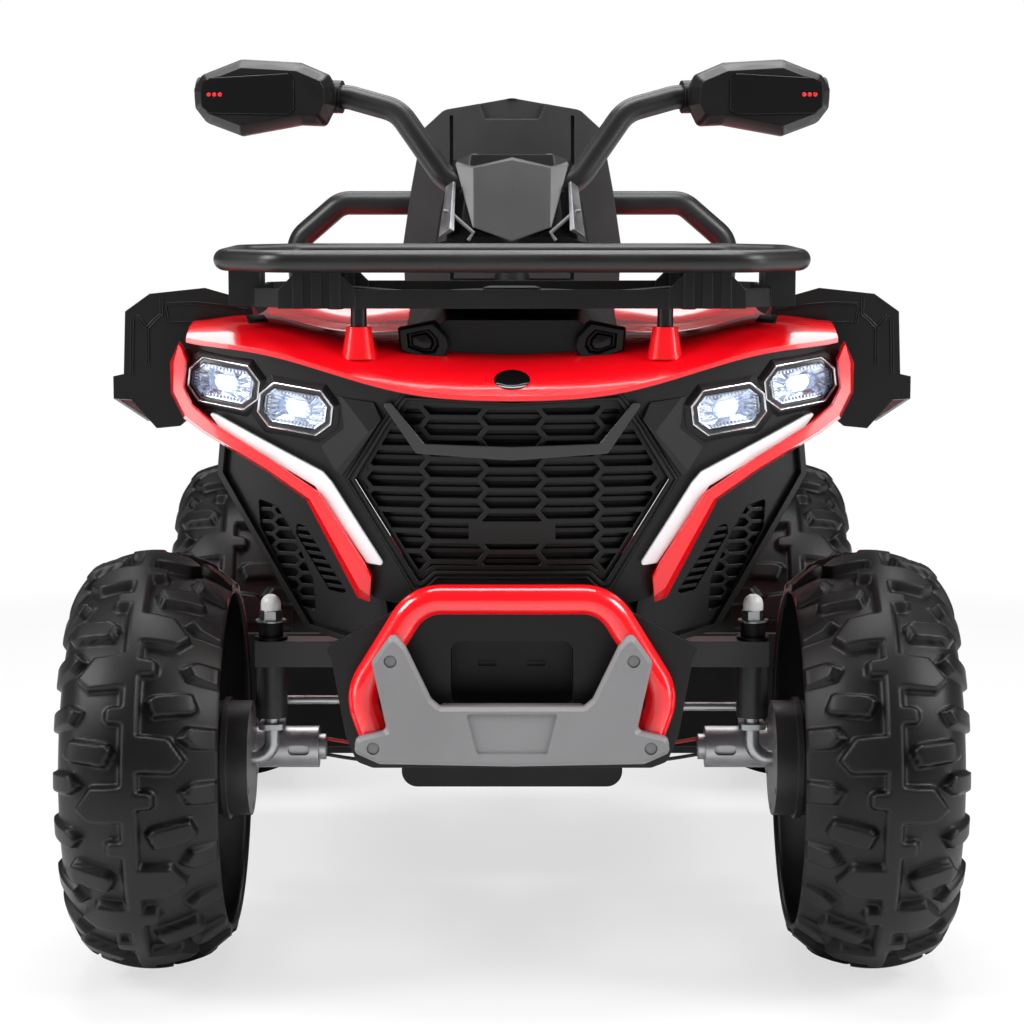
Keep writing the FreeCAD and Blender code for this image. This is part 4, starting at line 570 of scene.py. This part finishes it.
def nose(x, h, proud):
    """Point of the nose, a leaning cylinder: across, height above the axles, and height above its surface."""
    x, h, proud = np.broadcast_arrays(x, h, proud)
    middle = nose_front + nose_radius + (nose_height - h) * nose_slope
    y = middle - np.sqrt((nose_radius + proud) ** 2 - x ** 2)
    return np.stack([x, y, axle_height + h], axis=-1) * MM


def in_lamp(centre, side, u, v, proud):
    """Point of a lamp's own plan, tipped towards the middle, on either side of the machine."""
    c, s = math.cos(lamp_turn), math.sin(lamp_turn)
    return nose(side * (centre[0] + u * c - v * s), centre[1] + u * s + v * c, proud)


def octagon(half_width, half_height, cut, count):
    """Points round an octagon, the same number on each side."""
    w, h = half_width, half_height
    p = np.array([(w, cut - h), (w, h - cut), (w - cut, h), (cut - w, h),
                  (-w, h - cut), (-w, cut - h), (cut - w, -h), (w - cut, -h)])
    q = np.roll(p, -1, axis=0)
    t = np.linspace(0, 1, count, endpoint=False)[:, None]
    return np.concatenate([a + (b - a) * t for a, b in zip(p, q)])


def lamp_bowl(centre, side):
    """Reflector: rings of the lamp's octagon, each a share of its size at its own depth.
    Every other point of a ring stands higher by the ring's pleat, which folds the reflector into rays."""
    u, v = octagon(*lamp_mouth, 2).T
    fold = np.arange(len(u)) % 2
    return np.array([in_lamp(centre, side, u * k, v * k, depth + pleat * fold)
                     for k, depth, pleat in lamp_rings])


def lamp_core(centre, side):
    """Lit core: rings of an ellipse that rise as a dome."""
    turn = np.linspace(0, 2 * math.pi, 24, endpoint=False)
    u, v = core_half[0] * np.cos(turn), core_half[1] * np.sin(turn)
    rings = [(math.cos(a), core_floor + core_rise * math.sin(a)) for a in np.linspace(0, 1.5, 7)]
    return np.array([in_lamp(centre, side, u * k, v * k, depth) for k, depth in rings])


def lamp_teeth(centre, side):
    """Small upright teeth round the inside of a lamp, as the eight corners of each."""
    teeth = []
    for u, v, wide, high in end_teeth + long_teeth:
        across = u + wide * np.array((-1, 1, 1, -1))
        along = v + high * np.array((-1, -1, 1, 1))
        ends = [in_lamp(centre, side, across, along, depth) for depth in (tooth_feet, tooth_tops)]
        teeth.append(np.concatenate(ends))
    return teeth


box_sides = np.array([(0, 1, 2, 3), (4, 7, 6, 5), (0, 4, 5, 1), (1, 5, 6, 2), (2, 6, 7, 3), (3, 7, 4, 0)])


def boxes_piece(name, corners, material, body):
    """Small blocks in one piece, each from its eight corners."""
    quads = np.concatenate([box_sides + 8 * i for i in range(len(corners))])
    piece = mesh_piece(name, np.concatenate(corners), quads, material)
    piece.data.shade_flat()
    return fitted(piece, body)


def outward(piece, sharp=30.0):
    """Merge a piece's doubled points, point its faces outwards and mark its sharp edges."""
    work = bmesh.new()
    work.from_mesh(piece.data)
    bmesh.ops.remove_doubles(work, verts=work.verts, dist=weld_distance)
    bmesh.ops.recalc_face_normals(work, faces=work.faces)
    work.to_mesh(piece.data)
    work.free()
    piece.data.set_sharp_from_angle(angle=math.radians(sharp))
    return piece


def fitted(piece, body):
    """Piece that rides on a body, and stands for no solid."""
    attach(piece, body)
    return piece


def detail(name, grid, wrap_rows, wrap_columns, material, node):
    """Piece of a grid that rides with a solid."""
    piece = outward(grid_piece(name, grid, wrap_rows, wrap_columns, material))
    return fitted(piece, body_of[node])


def sided(put, side):
    """A placing for the left side, or mirrored for the right."""
    return lambda x, h, proud: put(side * x, h, proud)


def pointed(grid):
    """Grid with its first and last rows drawn to a point each."""
    first, last = (np.broadcast_to(row.mean(axis=0), row.shape)[None] for row in (grid[0], grid[-1]))
    return np.concatenate([first, grid, last])


def both(half):
    """Closed outline from its half, mirrored across the middle plane."""
    p = np.asarray(half, float)
    return np.vstack([p, p[-2:0:-1] * (-1, 1)])


def line_rails(points, width):
    """Two rails beside a line, half a width to each side."""
    p = np.asarray(points, float)
    way = np.gradient(p, axis=0)
    way /= np.hypot(way[:, 0], way[:, 1])[:, None]
    beside = np.stack([-way[:, 1], way[:, 0]], axis=-1) * width / 2
    return p - beside, p + beside


def strip_grid(first, second, profile, put, ring=False):
    """Strip between two rails: at each station a profile of shares across and heights.
    Ends that don't join into a ring are drawn to a point."""
    a = np.asarray(first, float)[:, None]
    b = np.asarray(second, float)[:, None]
    share, high = np.array(profile, float).T
    at = a + (b - a) * share[None, :, None]
    grid = put(at[..., 0], at[..., 1], np.broadcast_to(high, at.shape[:2]))
    return grid if ring else pointed(grid)


trim_outer = [(275, 358), (284, 340), (284, 315), (273, 294), (256, 283), (200, 253), (167, 231), (126, 152),
              (116, 149)]
trim_inner = [(272, 354), (267, 344), (270, 321), (263, 307), (243, 291), (199.6, 267), (155.5, 239),
              (119.5, 183), (114, 171)]
trim_sharp = 20.0
trim_profile = [(0, -1), (0, 4), (0.30, 13.4), (0.92, 12.6), (1, 10.4), (1, -1)]
edge_inner = [(0, 312), (84, 316), (101, 294), (127, 250), (77, 168), (73, 167), (63, 176), (0, 176.4)]
edge_outer = [(0, 318), (87.5, 322), (107, 297), (135.5, 250.5), (79.5, 156.5), (72, 157), (60, 168.8),
              (0, 169)]
edge_profile = [(0, -1), (0, 1.2), (0.18, 2), (0.36, 2), (0.46, 0.7), (0.58, 0.7), (0.68, 2), (0.84, 2),
                (1, 0.2), (1, -1)]
brow_inner = (31.6, 19.1, 11.4)
brow_outer = (37, 24, 14)
bezel_outer = (31.3, 18.8, 11.2)
bezel_inner = (29.4, 16.9, 10.3)
brow_profile = [(0, -2), (0, 3.2), (0.22, 3.4), (1, 0.2), (1, -2)]
bezel_profile = [(0, -2), (0, 4.2), (0.3, 4.6), (1, 3.0), (1, -2)]
lamp_rims = [("lamp_brow", brow_inner, brow_outer, brow_profile, "black", "front_fascia"),
             ("lamp_bezel", bezel_outer, bezel_inner, bezel_profile, "chrome", "headlight_housings")]
facet_points = [(136.4, 316.7, 1.0), (110.7, 313.3, 2.0), (105.0, 300.0, 8.0), (115.0, 289.9, 9.0),
                (135.4, 292.0, 0.3), (140.7, 317.9, 0.3), (138.0, 252.5, 2.0), (143.2, 255.9, 1.5),
                (155.1, 276.3, 0.3)]
facet_faces = [(0, 1, 2, 3), (5, 0, 3, 4), (3, 2, 6, 7), (4, 3, 7, 8)]
facet_rim = [5, 0, 1, 2, 6, 7, 8, 4]
facet_foot = -1.0
facet_sharp = 12.0
duct_outer = [(215, 230), (214, 203), (197, 170), (181, 135), (160, 129)]
duct_inner = [(197, 225), (177, 211), (158, 188), (138, 155), (131, 145)]
duct_profile = [(0, -36), (1, -36), (1, -37.5), (0, -37.5)]
flare_lines = [[(309.3, 336.2), (309.0, 352.0), (309.0, 366.0), (318.5, 377.0)],
               [(309.0, 366.0), (303.0, 372.5), (296.7, 378.0), (296.9, 391.0)],
               [(293.0, 386.0), (269.6, 387.0), (246.0, 384.5), (224.0, 381.0)],
               [(294.0, 385.0), (291.6, 371.0), (284.0, 370.2), (266.0, 370.2)],
               [(321.5, 374.0), (322.2, 357.0), (322.6, 341.0), (322.9, 327.0)]]
flare_profile = [(0, -1), (0, 0.1), (0.2, 0.7), (0.4, 0.1), (0.6, 0.1), (0.8, 0.7), (1, 0.1), (1, -1)]


def facet_piece(name, side, material):
    """Folded panel beside the grille: corners at their own heights, joined by flat faces, with a foot."""
    x, h, proud = np.array(facet_points).T
    points = np.concatenate([nose(side * x, h, proud), nose(side * x, h, facet_foot)])
    count = len(facet_points)
    skirt = [(a, b, b + count, a + count) for a, b in zip(facet_rim, facet_rim[1:] + facet_rim[:1])]
    floor = [tuple(i + count for i in face) for face in facet_faces]
    return outward(mesh_piece(name, points, np.array(facet_faces + skirt + floor), material), facet_sharp)


def solid_tree(node):
    """Search tree of a solid's faces."""
    mesh = nodes[node].data
    return BVHTree.FromPolygons([v.co for v in mesh.vertices], [tuple(p.vertices) for p in mesh.polygons])


def front_of(node):
    """Finder of a solid's front: the Y where a level line from ahead first meets it at an X and a Z."""
    tree = solid_tree(node)
    return np.vectorize(lambda x, z: tree.ray_cast((x, -2.0, z), (0, 1, 0))[0].y)


def dome(find, centre, half_width, half_height, rise, sides=32):
    """Low oval dome on a front: rings of an ellipse, each higher than the last, with a foot in the solid."""
    turn = np.linspace(0, 2 * math.pi, sides, endpoint=False)
    rings = [(1.0, -0.8), (1.0, 0.4 * rise), (0.9, 0.75 * rise), (0.6, 0.95 * rise), (0.02, rise)]
    grid = []
    for k, high in rings:
        x = centre[0] + half_width * k * np.cos(turn)
        z = centre[1] + half_height * k * np.sin(turn)
        grid.append(np.stack([x, find(x * MM, z * MM) / MM - high, z], axis=-1) * MM)
    return np.array(grid)


def top_of(node):
    """Finder of a solid's top: the Z where an upright line from above first meets it at an X and a Y."""
    tree = solid_tree(node)
    return np.vectorize(lambda x, y: tree.ray_cast((x, y, 2.0), (0, 0, -1))[0].z)


def plate_grid(find, corners, rise, sink, count=9):
    """Plate on a top: a patch of four corners that follows the solid, raised inside its edge, sunk at it."""
    u, v = np.meshgrid(np.linspace(0, 1, count), np.linspace(0, 1, count), indexing="ij")
    shares = np.stack([(1 - u) * (1 - v), u * (1 - v), u * v, (1 - u) * v], axis=-1)
    at = shares @ np.array(corners, float)
    inside = np.minimum(np.minimum(u, 1 - u), np.minimum(v, 1 - v)) > 0
    high = find(at[..., 0] * MM, at[..., 1] * MM) / MM + np.where(inside, rise, -sink)
    return np.dstack([at, high]) * MM


pod_lean = 0.39
pod_front = -171.0
pod_top = 678.0
pod_sharp = 8.0
pod_cap = [[(-50, 686, -16), (-34, 683, -12), (0, 690, -8), (34, 683, -12), (50, 686, -16)],
           [(-51.5, 682.5, -4), (-35, 679.5, 3), (0, 686.5, 6), (35, 679.5, 3), (51.5, 682.5, -4)],
           [(-43.5, 654, -1), (-34.8, 652, 3.5), (0, 650, 10), (34.8, 652, 3.5), (43.5, 654, -1)],
           [(-35.5, 626, 2), (-34.5, 626, 3), (0, 614, 10), (34.5, 626, 3), (35.5, 626, 2)],
           [(-35.5, 626, -8), (-34.5, 625, -8), (0, 613, -4), (34.5, 625, -8), (35.5, 626, -8)]]
pod_window = [(62, 641), (57, 640.5), (46, 631), (34.8, 621.5), (39.5, 614.5)]
pod_line_width = 3.4
pod_profile = [(0, -3), (0, 4.2), (0.5, 5), (1, 4.2), (1, -3)]


def on_pod(x, z, proud):
    """Point of the pod's leaning front: across, height, and height above it."""
    x, z, proud = np.broadcast_arrays(x, z, proud)
    return np.stack([x, pod_front + pod_lean * (z - pod_top) - proud, z], axis=-1) * MM


def cap_grid():
    """Pod cap: closed loops of its front and rolled edges, one at each crease, pointed at each side."""
    return pointed(on_pod(*np.array(pod_cap, float).transpose(2, 1, 0)))


vent_outline = [(92.9, 548.5), (91.3, 530.9), (67.6, 522.1), (55.4, 523.7), (50.5, 532.5), (52.2, 542.1),
                (59.5, 550.1), (64.0, 554.0)]
vent_centre = (74.0, 538.0)
vent_front = -436.0
vent_profile = [(0, -30), (0, 2), (0.1, 5), (0.36, 5), (0.46, -3), (0.56, -3), (0.64, 3), (0.98, 4)]
insert_corners = [(226, -352), (208, -352), (201, -388), (219, -400)]
insert_rise = 1.6
insert_sink = 1.0
foot_outer = [(118, 158), (104, 152), (90, 148)]
foot_inner = [(112, 120), (104, 118), (90, 122)]
foot_profile = [(0, -46), (1, -46), (1, -48), (0, -48)]
badge_centre = (0.0, 510.0)
badge_half = (14.5, 7.0)
badge_rise = 1.8
dot_places = [(274.0, 745.0), (269.0, 745.0), (264.0, 745.0)]
dot_half = (1.9, 1.9)
dot_rise = 0.6
dot_sides = 16
flare_line_width = 3.6
flare_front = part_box("front_flares")[0][1]


def on_flare(x, h, proud):
    """Point of the front flares' flat face: across, height above the axles, and height above the face."""
    return np.stack([x * MM, flare_front - proud * MM, (axle_height + h) * MM], axis=-1)


def on_vent(x, z, proud):
    """Point of the tank cover's front, where the vents are: across, height, and height above it."""
    return np.stack([x, vent_front - proud, z], axis=-1) * MM


class QUAD_OT_nose(Operator):
    """Red trims, folded panels, lamp rims, grille edge, duct backs, vents, flare lines, inserts and badge"""
    bl_idname = "quad.nose"
    bl_label = "Nose details"

    def execute(self, context):
        edge = strip_grid(both(edge_inner), both(edge_outer), edge_profile, nose, True)
        detail("grille_edge", edge, True, True, finish["black"], "front_fascia")
        hood_top = top_of("hood")
        guard_front = front_of("guard_inserts")
        for name, side in side_signs.items():
            trim = strip_grid(trim_outer, trim_inner, trim_profile, sided(nose, side))
            trim = grid_piece("red_trim_" + name, trim, False, True, finish["red"], "fascia_trims")
            outward(trim, trim_sharp)
            fitted(facet_piece("brow_" + name, side, finish["black"]), "chassis")
            for kind, rails in (("duct_back_", (duct_outer, duct_inner, duct_profile)),
                                ("duct_foot_", (foot_outer, foot_inner, foot_profile))):
                backing = strip_grid(*rails, sided(nose, side))
                detail(kind + name, backing, False, True, finish["dark"], "front_fascia")
            hub = [vent_centre] * len(vent_outline)
            vent = strip_grid(vent_outline, hub, vent_profile, sided(on_vent, side), True)
            detail("vent_" + name, vent, True, False, finish["black"], "tank_cover")
            corners = [(side * x, y) for x, y in insert_corners]
            insert = plate_grid(hood_top, corners, insert_rise, insert_sink)
            detail("hood_insert_" + name, insert, False, False, finish["black"], "front_fascia")
            for i, points in enumerate(flare_lines):
                line = strip_grid(*line_rails(points, flare_line_width), flare_profile, sided(on_flare, side))
                detail("flare_line_%s_%d" % (name, i), line, False, True, finish["black"], "front_flares")
            for i, centre in enumerate(lamp_centres):
                put = partial(in_lamp, centre, side)
                for kind, first, second, profile, look, node in lamp_rims:
                    rim = strip_grid(octagon(*first, 1), octagon(*second, 1), profile, put, True)
                    detail("%s_%s_%d" % (kind, name, i), rim, True, True, finish[look], node)
            for i, (x, z) in enumerate(dot_places):
                dot = dome(guard_front, (side * x, z), *dot_half, dot_rise, dot_sides)
                detail("guard_dot_%s_%d" % (name, i), dot, False, True, finish["red"], "guard_inserts")
        badge = dome(front_of("hood"), badge_centre, *badge_half, badge_rise)
        detail("badge", badge, False, True, finish["piano"], "hood")
        return {"FINISHED"}


class QUAD_OT_lamps(Operator):
    """Headlights with reflectors, teeth and lit cores, light bars and tail lamps"""
    bl_idname = "quad.lamps"
    bl_label = "Lamps"

    def execute(self, context):
        teeth = []
        for i, centre in enumerate(lamp_centres):
            for name, side in side_signs.items():
                lamp = "%s_%d" % (name, i)
                bowl = grid_piece("reflector_" + lamp, lamp_bowl(centre, side), False, True, finish["facet"])
                bowl.data.shade_flat()
                core = grid_piece("lamp_core_" + lamp, lamp_core(centre, side), False, True, finish["glow"])
                for piece in (bowl, core):
                    fitted(piece, "chassis")
                teeth += lamp_teeth(centre, side)
        boxes_piece("lamp_teeth", teeth, finish["chrome"], "chassis")
        dressed("headlight_housings", finish["piano"])
        dressed("headlight_lenses", finish["lens"])
        dressed("light_bars", finish["milk"])
        dressed("tail_lamps", finish["red lens"])
        return {"FINISHED"}


class QUAD_OT_bumper(Operator):
    """Bumper tube, bracket and skid plate, and the front rack"""
    bl_idname = "quad.bumper"
    bl_label = "Bumper and rack"

    def execute(self, context):
        dressed("bumper_tube", finish["red"])
        dressed("bumper_bracket", finish["black"])
        dressed("bumper_skid", finish["grey"])
        dressed("front_rack_rail", finish["satin"])
        dressed("front_rack_tray", finish["black"])
        return {"FINISHED"}


class QUAD_OT_cockpit(Operator):
    """Handlebar, guards, pod, seat, backrest and grab rails"""
    bl_idname = "quad.cockpit"
    bl_label = "Cockpit"

    def execute(self, context):
        for node in ("handlebar", "grab_rails"):
            dressed(node, finish["satin"])
        for node in ("hand_guards", "pod_base", "push_button_left", "push_button_right"):
            dressed(node, finish["black"])
        for node in ("seat", "backrest"):
            dressed(node, finish["soft"])
        dressed("grips", finish["rubber"])
        dressed("accelerator_pedal", finish["rubber"])
        dressed("guard_inserts", finish["piano"])
        outward(grid_piece("pod_cap", cap_grid(), False, True, finish["shield"], "pod_shield"), pod_sharp)
        for name, side in side_signs.items():
            rails = line_rails([(side * x, z) for x, z in pod_window], pod_line_width)
            window = strip_grid(*rails, pod_profile, on_pod)
            detail("pod_window_" + name, window, False, True, finish["window"], "pod_trims")
        dressed("pod_trims", finish["silver"])
        return {"FINISHED"}


# Leads and springs

lead_points = [(161.6, -325.0, 178.0), (131.0, -324.0, 172.0), (101.0, -316.0, 170.0), (85.0, -301.0, 175.0),
               (84.0, -285.1, 178.0)]
lead_radius = 1.6
lead_spread = 7.0
lead_resolution = 16
tube_sides = 12
spring_x = 75.0
spring_y = 284.0
spring_ends = (204.0, 281.0)
spring_radius = 17.0
spring_wire = 2.6
spring_turns = 6
spring_steps = 24
spring_ease = [(0, 0), (0.07, 0.028), (0.93, 0.972), (1, 1)]


def spring_line(side):
    """Coil: a circle that climbs, slowly over its first and last half turn."""
    share = np.linspace(0, 1, spring_steps * spring_turns + 1)
    climb = np.interp(share, *np.transpose(spring_ease))
    turn = 2 * math.pi * spring_turns * share
    low, high = spring_ends[0] + spring_wire, spring_ends[1] - spring_wire
    return np.stack([side * spring_x + spring_radius * np.cos(turn), spring_y + spring_radius * np.sin(turn),
                     low + (high - low) * climb], axis=-1) * MM


class QUAD_OT_leads(Operator):
    """Motor leads along their routes, and coil springs that ride on the rear springs' body"""
    bl_idname = "quad.leads"
    bl_label = "Leads and springs"

    def execute(self, context):
        for name, side in side_signs.items():
            for colour, rise in (("red", lead_spread), ("black", -lead_spread)):
                line = lead_line([(side * x, y, z + rise) for x, y, z in lead_points], lead_resolution) * MM
                skin = tube_grid(line, lead_radius * MM, tube_sides)
                lead = grid_piece("lead_%s_%s" % (name, colour), skin, False, True, finish["lead " + colour])
                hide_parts("motor_leads_" + name)
                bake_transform(lead)
            skin = tube_grid(spring_line(side), spring_wire * MM, tube_sides)
            coil = grid_piece("spring_" + name, skin, False, True, finish["steel"])
            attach(coil, body_of["rear_springs"])
            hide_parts("rear_springs")
            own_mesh(coil)
        return {"FINISHED"}


class QUAD_OT_chassis(Operator):
    """Frame, axles, drives and steering"""
    bl_idname = "quad.chassis"
    bl_label = "Chassis"

    def execute(self, context):
        for node in ("frame", "front_axle_beam"):
            dressed(node, finish["frame"])
        for node in ("steering_column", "tie_rod_left", "tie_rod_right", "swing_arm"):
            dressed(node, finish["steel"])
        for name in side_signs:
            dressed("spindle_" + name, finish["spindle"])
            dressed("front_drive_" + name, finish["front drive"])
        dressed("rear_drives", finish["rear drive"])
        dressed("steering_bushes", finish["dark"])
        dressed("battery_pack", finish["dark"])
        return {"FINISHED"}


# Stage

floor_reach = 14.0
sensor_width = 36
softboxes = [
    ("key_left", (-2.3, -1.3, 2.2), (0, -0.2, 0.4), 1.2, 1.2, 68),
    ("key_right", (2.3, -1.3, 2.2), (0, -0.2, 0.4), 1.2, 1.2, 68),
    ("top", (0, -0.2, 3.0), (0, 0, 0.4), 1.8, 1.2, 64),
    ("back", (0, 1.5, 2.7), (0, -0.3, 0.5), 2.6, 1.2, 46),
    ("side_left", (-2.6, -1.2, 0.5), (0, -0.3, 0.4), 0.8, 1.4, 16),
    ("side_right", (2.6, -1.2, 0.5), (0, -0.3, 0.4), 0.8, 1.4, 16),
]


def largest(tree, first, second):
    """The larger of two values."""
    node = tree.nodes.new("ShaderNodeMath")
    node.operation = "MAXIMUM"
    tree.links.new(first, node.inputs[0])
    tree.links.new(second, node.inputs[1])
    return node.outputs[0]


def floor_finish(size):
    """Glossy white floor that fades to plain white far away, and in part wherever the camera sees it."""
    material, tree, shader = blank("floor white")
    shader.inputs["Base Color"].default_value = (0.90, 0.90, 0.90, 1)
    shader.inputs["Roughness"].default_value = 0.12
    coords = tree.nodes.new("ShaderNodeTexCoord")
    away = add(tree, "ShaderNodeVectorMath")
    away.operation = "LENGTH"
    tree.links.new(coords.outputs["Object"], away.inputs[0])
    far = spread(tree, away.outputs["Value"], 0.0, 1.0, size.floor_fade, size.floor_end)
    white = add(tree, "ShaderNodeEmission", Color=(1, 1, 1, 1), Strength=1.0)
    ray = tree.nodes.new("ShaderNodeLightPath")
    seen = spread(tree, ray.outputs["Is Camera Ray"], 0.0, size.floor_white, 0.0, 1.0)
    blended = add(tree, "ShaderNodeMixShader", Fac=largest(tree, far, seen))
    tree.links.new(shader.outputs["BSDF"], blended.inputs[1])
    tree.links.new(white.outputs["Emission"], blended.inputs[2])
    tree.links.new(blended.outputs["Shader"], tree.nodes["Material Output"].inputs["Surface"])
    return material


def light_sky(sky, size):
    """White all round for the camera and through clear parts, and dimmer as light and in glossy faces."""
    back = sky.nodes["Background"]
    back.inputs["Color"].default_value = (1, 1, 1, 1)
    ray = sky.nodes.new("ShaderNodeLightPath")
    seen = largest(sky, ray.outputs["Is Camera Ray"], ray.outputs["Is Transmission Ray"])
    dim = spread(sky, ray.outputs["Is Glossy Ray"], size.fill, size.mirror, 0.0, 1.0)
    level = add(sky, "ShaderNodeMapRange", Value=seen)
    sky.links.new(dim, level.inputs["To Min"])
    level.inputs["To Max"].default_value = 1.0
    sky.links.new(level.outputs["Result"], back.inputs["Strength"])


class QUAD_OT_stage(Operator):
    """Floor, backdrop, soft lights and the camera"""
    bl_idname = "quad.stage"
    bl_label = "Stage"

    def execute(self, context):
        scene = context.scene
        size = scene.quad_stage
        scene.view_settings.view_transform = "Standard"
        mesh = bpy.data.meshes.new("floor")
        corners = [(floor_reach * x, floor_reach * y, 0) for x, y in ((-1, -1), (1, -1), (1, 1), (-1, 1))]
        mesh.from_pydata(corners, [], [(0, 1, 2, 3)])
        mesh.materials.append(floor_finish(size))
        floor = bpy.data.objects.new("floor", mesh)
        scene.collection.objects.link(floor)
        scene.world = scene.world or bpy.data.worlds.new("studio")
        scene.world.use_nodes = True
        light_sky(scene.world.node_tree, size)
        for name, spot, aim, width, height, power in softboxes:
            lamp = bpy.data.lights.new(name, "AREA")
            lamp.shape = "RECTANGLE"
            lamp.size = width
            lamp.size_y = height
            lamp.energy = power
            light = bpy.data.objects.new(name, lamp)
            scene.collection.objects.link(light)
            light.location = spot
            way = np.subtract(aim, spot)
            level_run = math.hypot(way[0], way[1])
            light.rotation_euler = (math.atan2(level_run, -way[2]), 0, math.atan2(-way[0], way[1]))
        eye = bpy.data.cameras.new("photo_view")
        eye.lens = size.lens
        eye.sensor_width = sensor_width
        camera = bpy.data.objects.new("photo_view", eye)
        scene.collection.objects.link(camera)
        camera.location = (0, -size.camera_away, size.camera_height)
        camera.rotation_euler = (math.pi / 2 - size.camera_pitch, 0, 0)
        scene.camera = camera
        return {"FINISHED"}


class QUAD_PT_panel(Panel):
    """Steps that build the quad's looks"""
    bl_idname = "QUAD_PT_panel"
    bl_label = "Kids quad bike"
    bl_space_type = "VIEW_3D"
    bl_region_type = "UI"
    bl_category = "Quad"

    def draw(self, context):
        for step in steps:
            self.layout.operator(step.bl_idname)


groups = {"quad_finishes": QuadFinishes, "quad_tyre": QuadTyre, "quad_stage": QuadStage}
steps = [QUAD_OT_tyres, QUAD_OT_panels, QUAD_OT_nose, QUAD_OT_lamps, QUAD_OT_bumper, QUAD_OT_cockpit,
         QUAD_OT_chassis, QUAD_OT_leads, QUAD_OT_stage]


def register():
    for kind in list(groups.values()) + steps + [QUAD_PT_panel]:
        bpy.utils.register_class(kind)
    for name, kind in groups.items():
        setattr(bpy.types.Scene, name, PointerProperty(type=kind))


def unregister():
    for name in groups:
        delattr(bpy.types.Scene, name)
    for kind in reversed(list(groups.values()) + steps + [QUAD_PT_panel]):
        bpy.utils.unregister_class(kind)


def main():
    register()
    make_finishes(bpy.context.scene.quad_finishes)
    for step in steps:
        group, name = step.bl_idname.split(".")
        getattr(getattr(bpy.ops, group), name)()


if __name__ == "__main__":
    main()
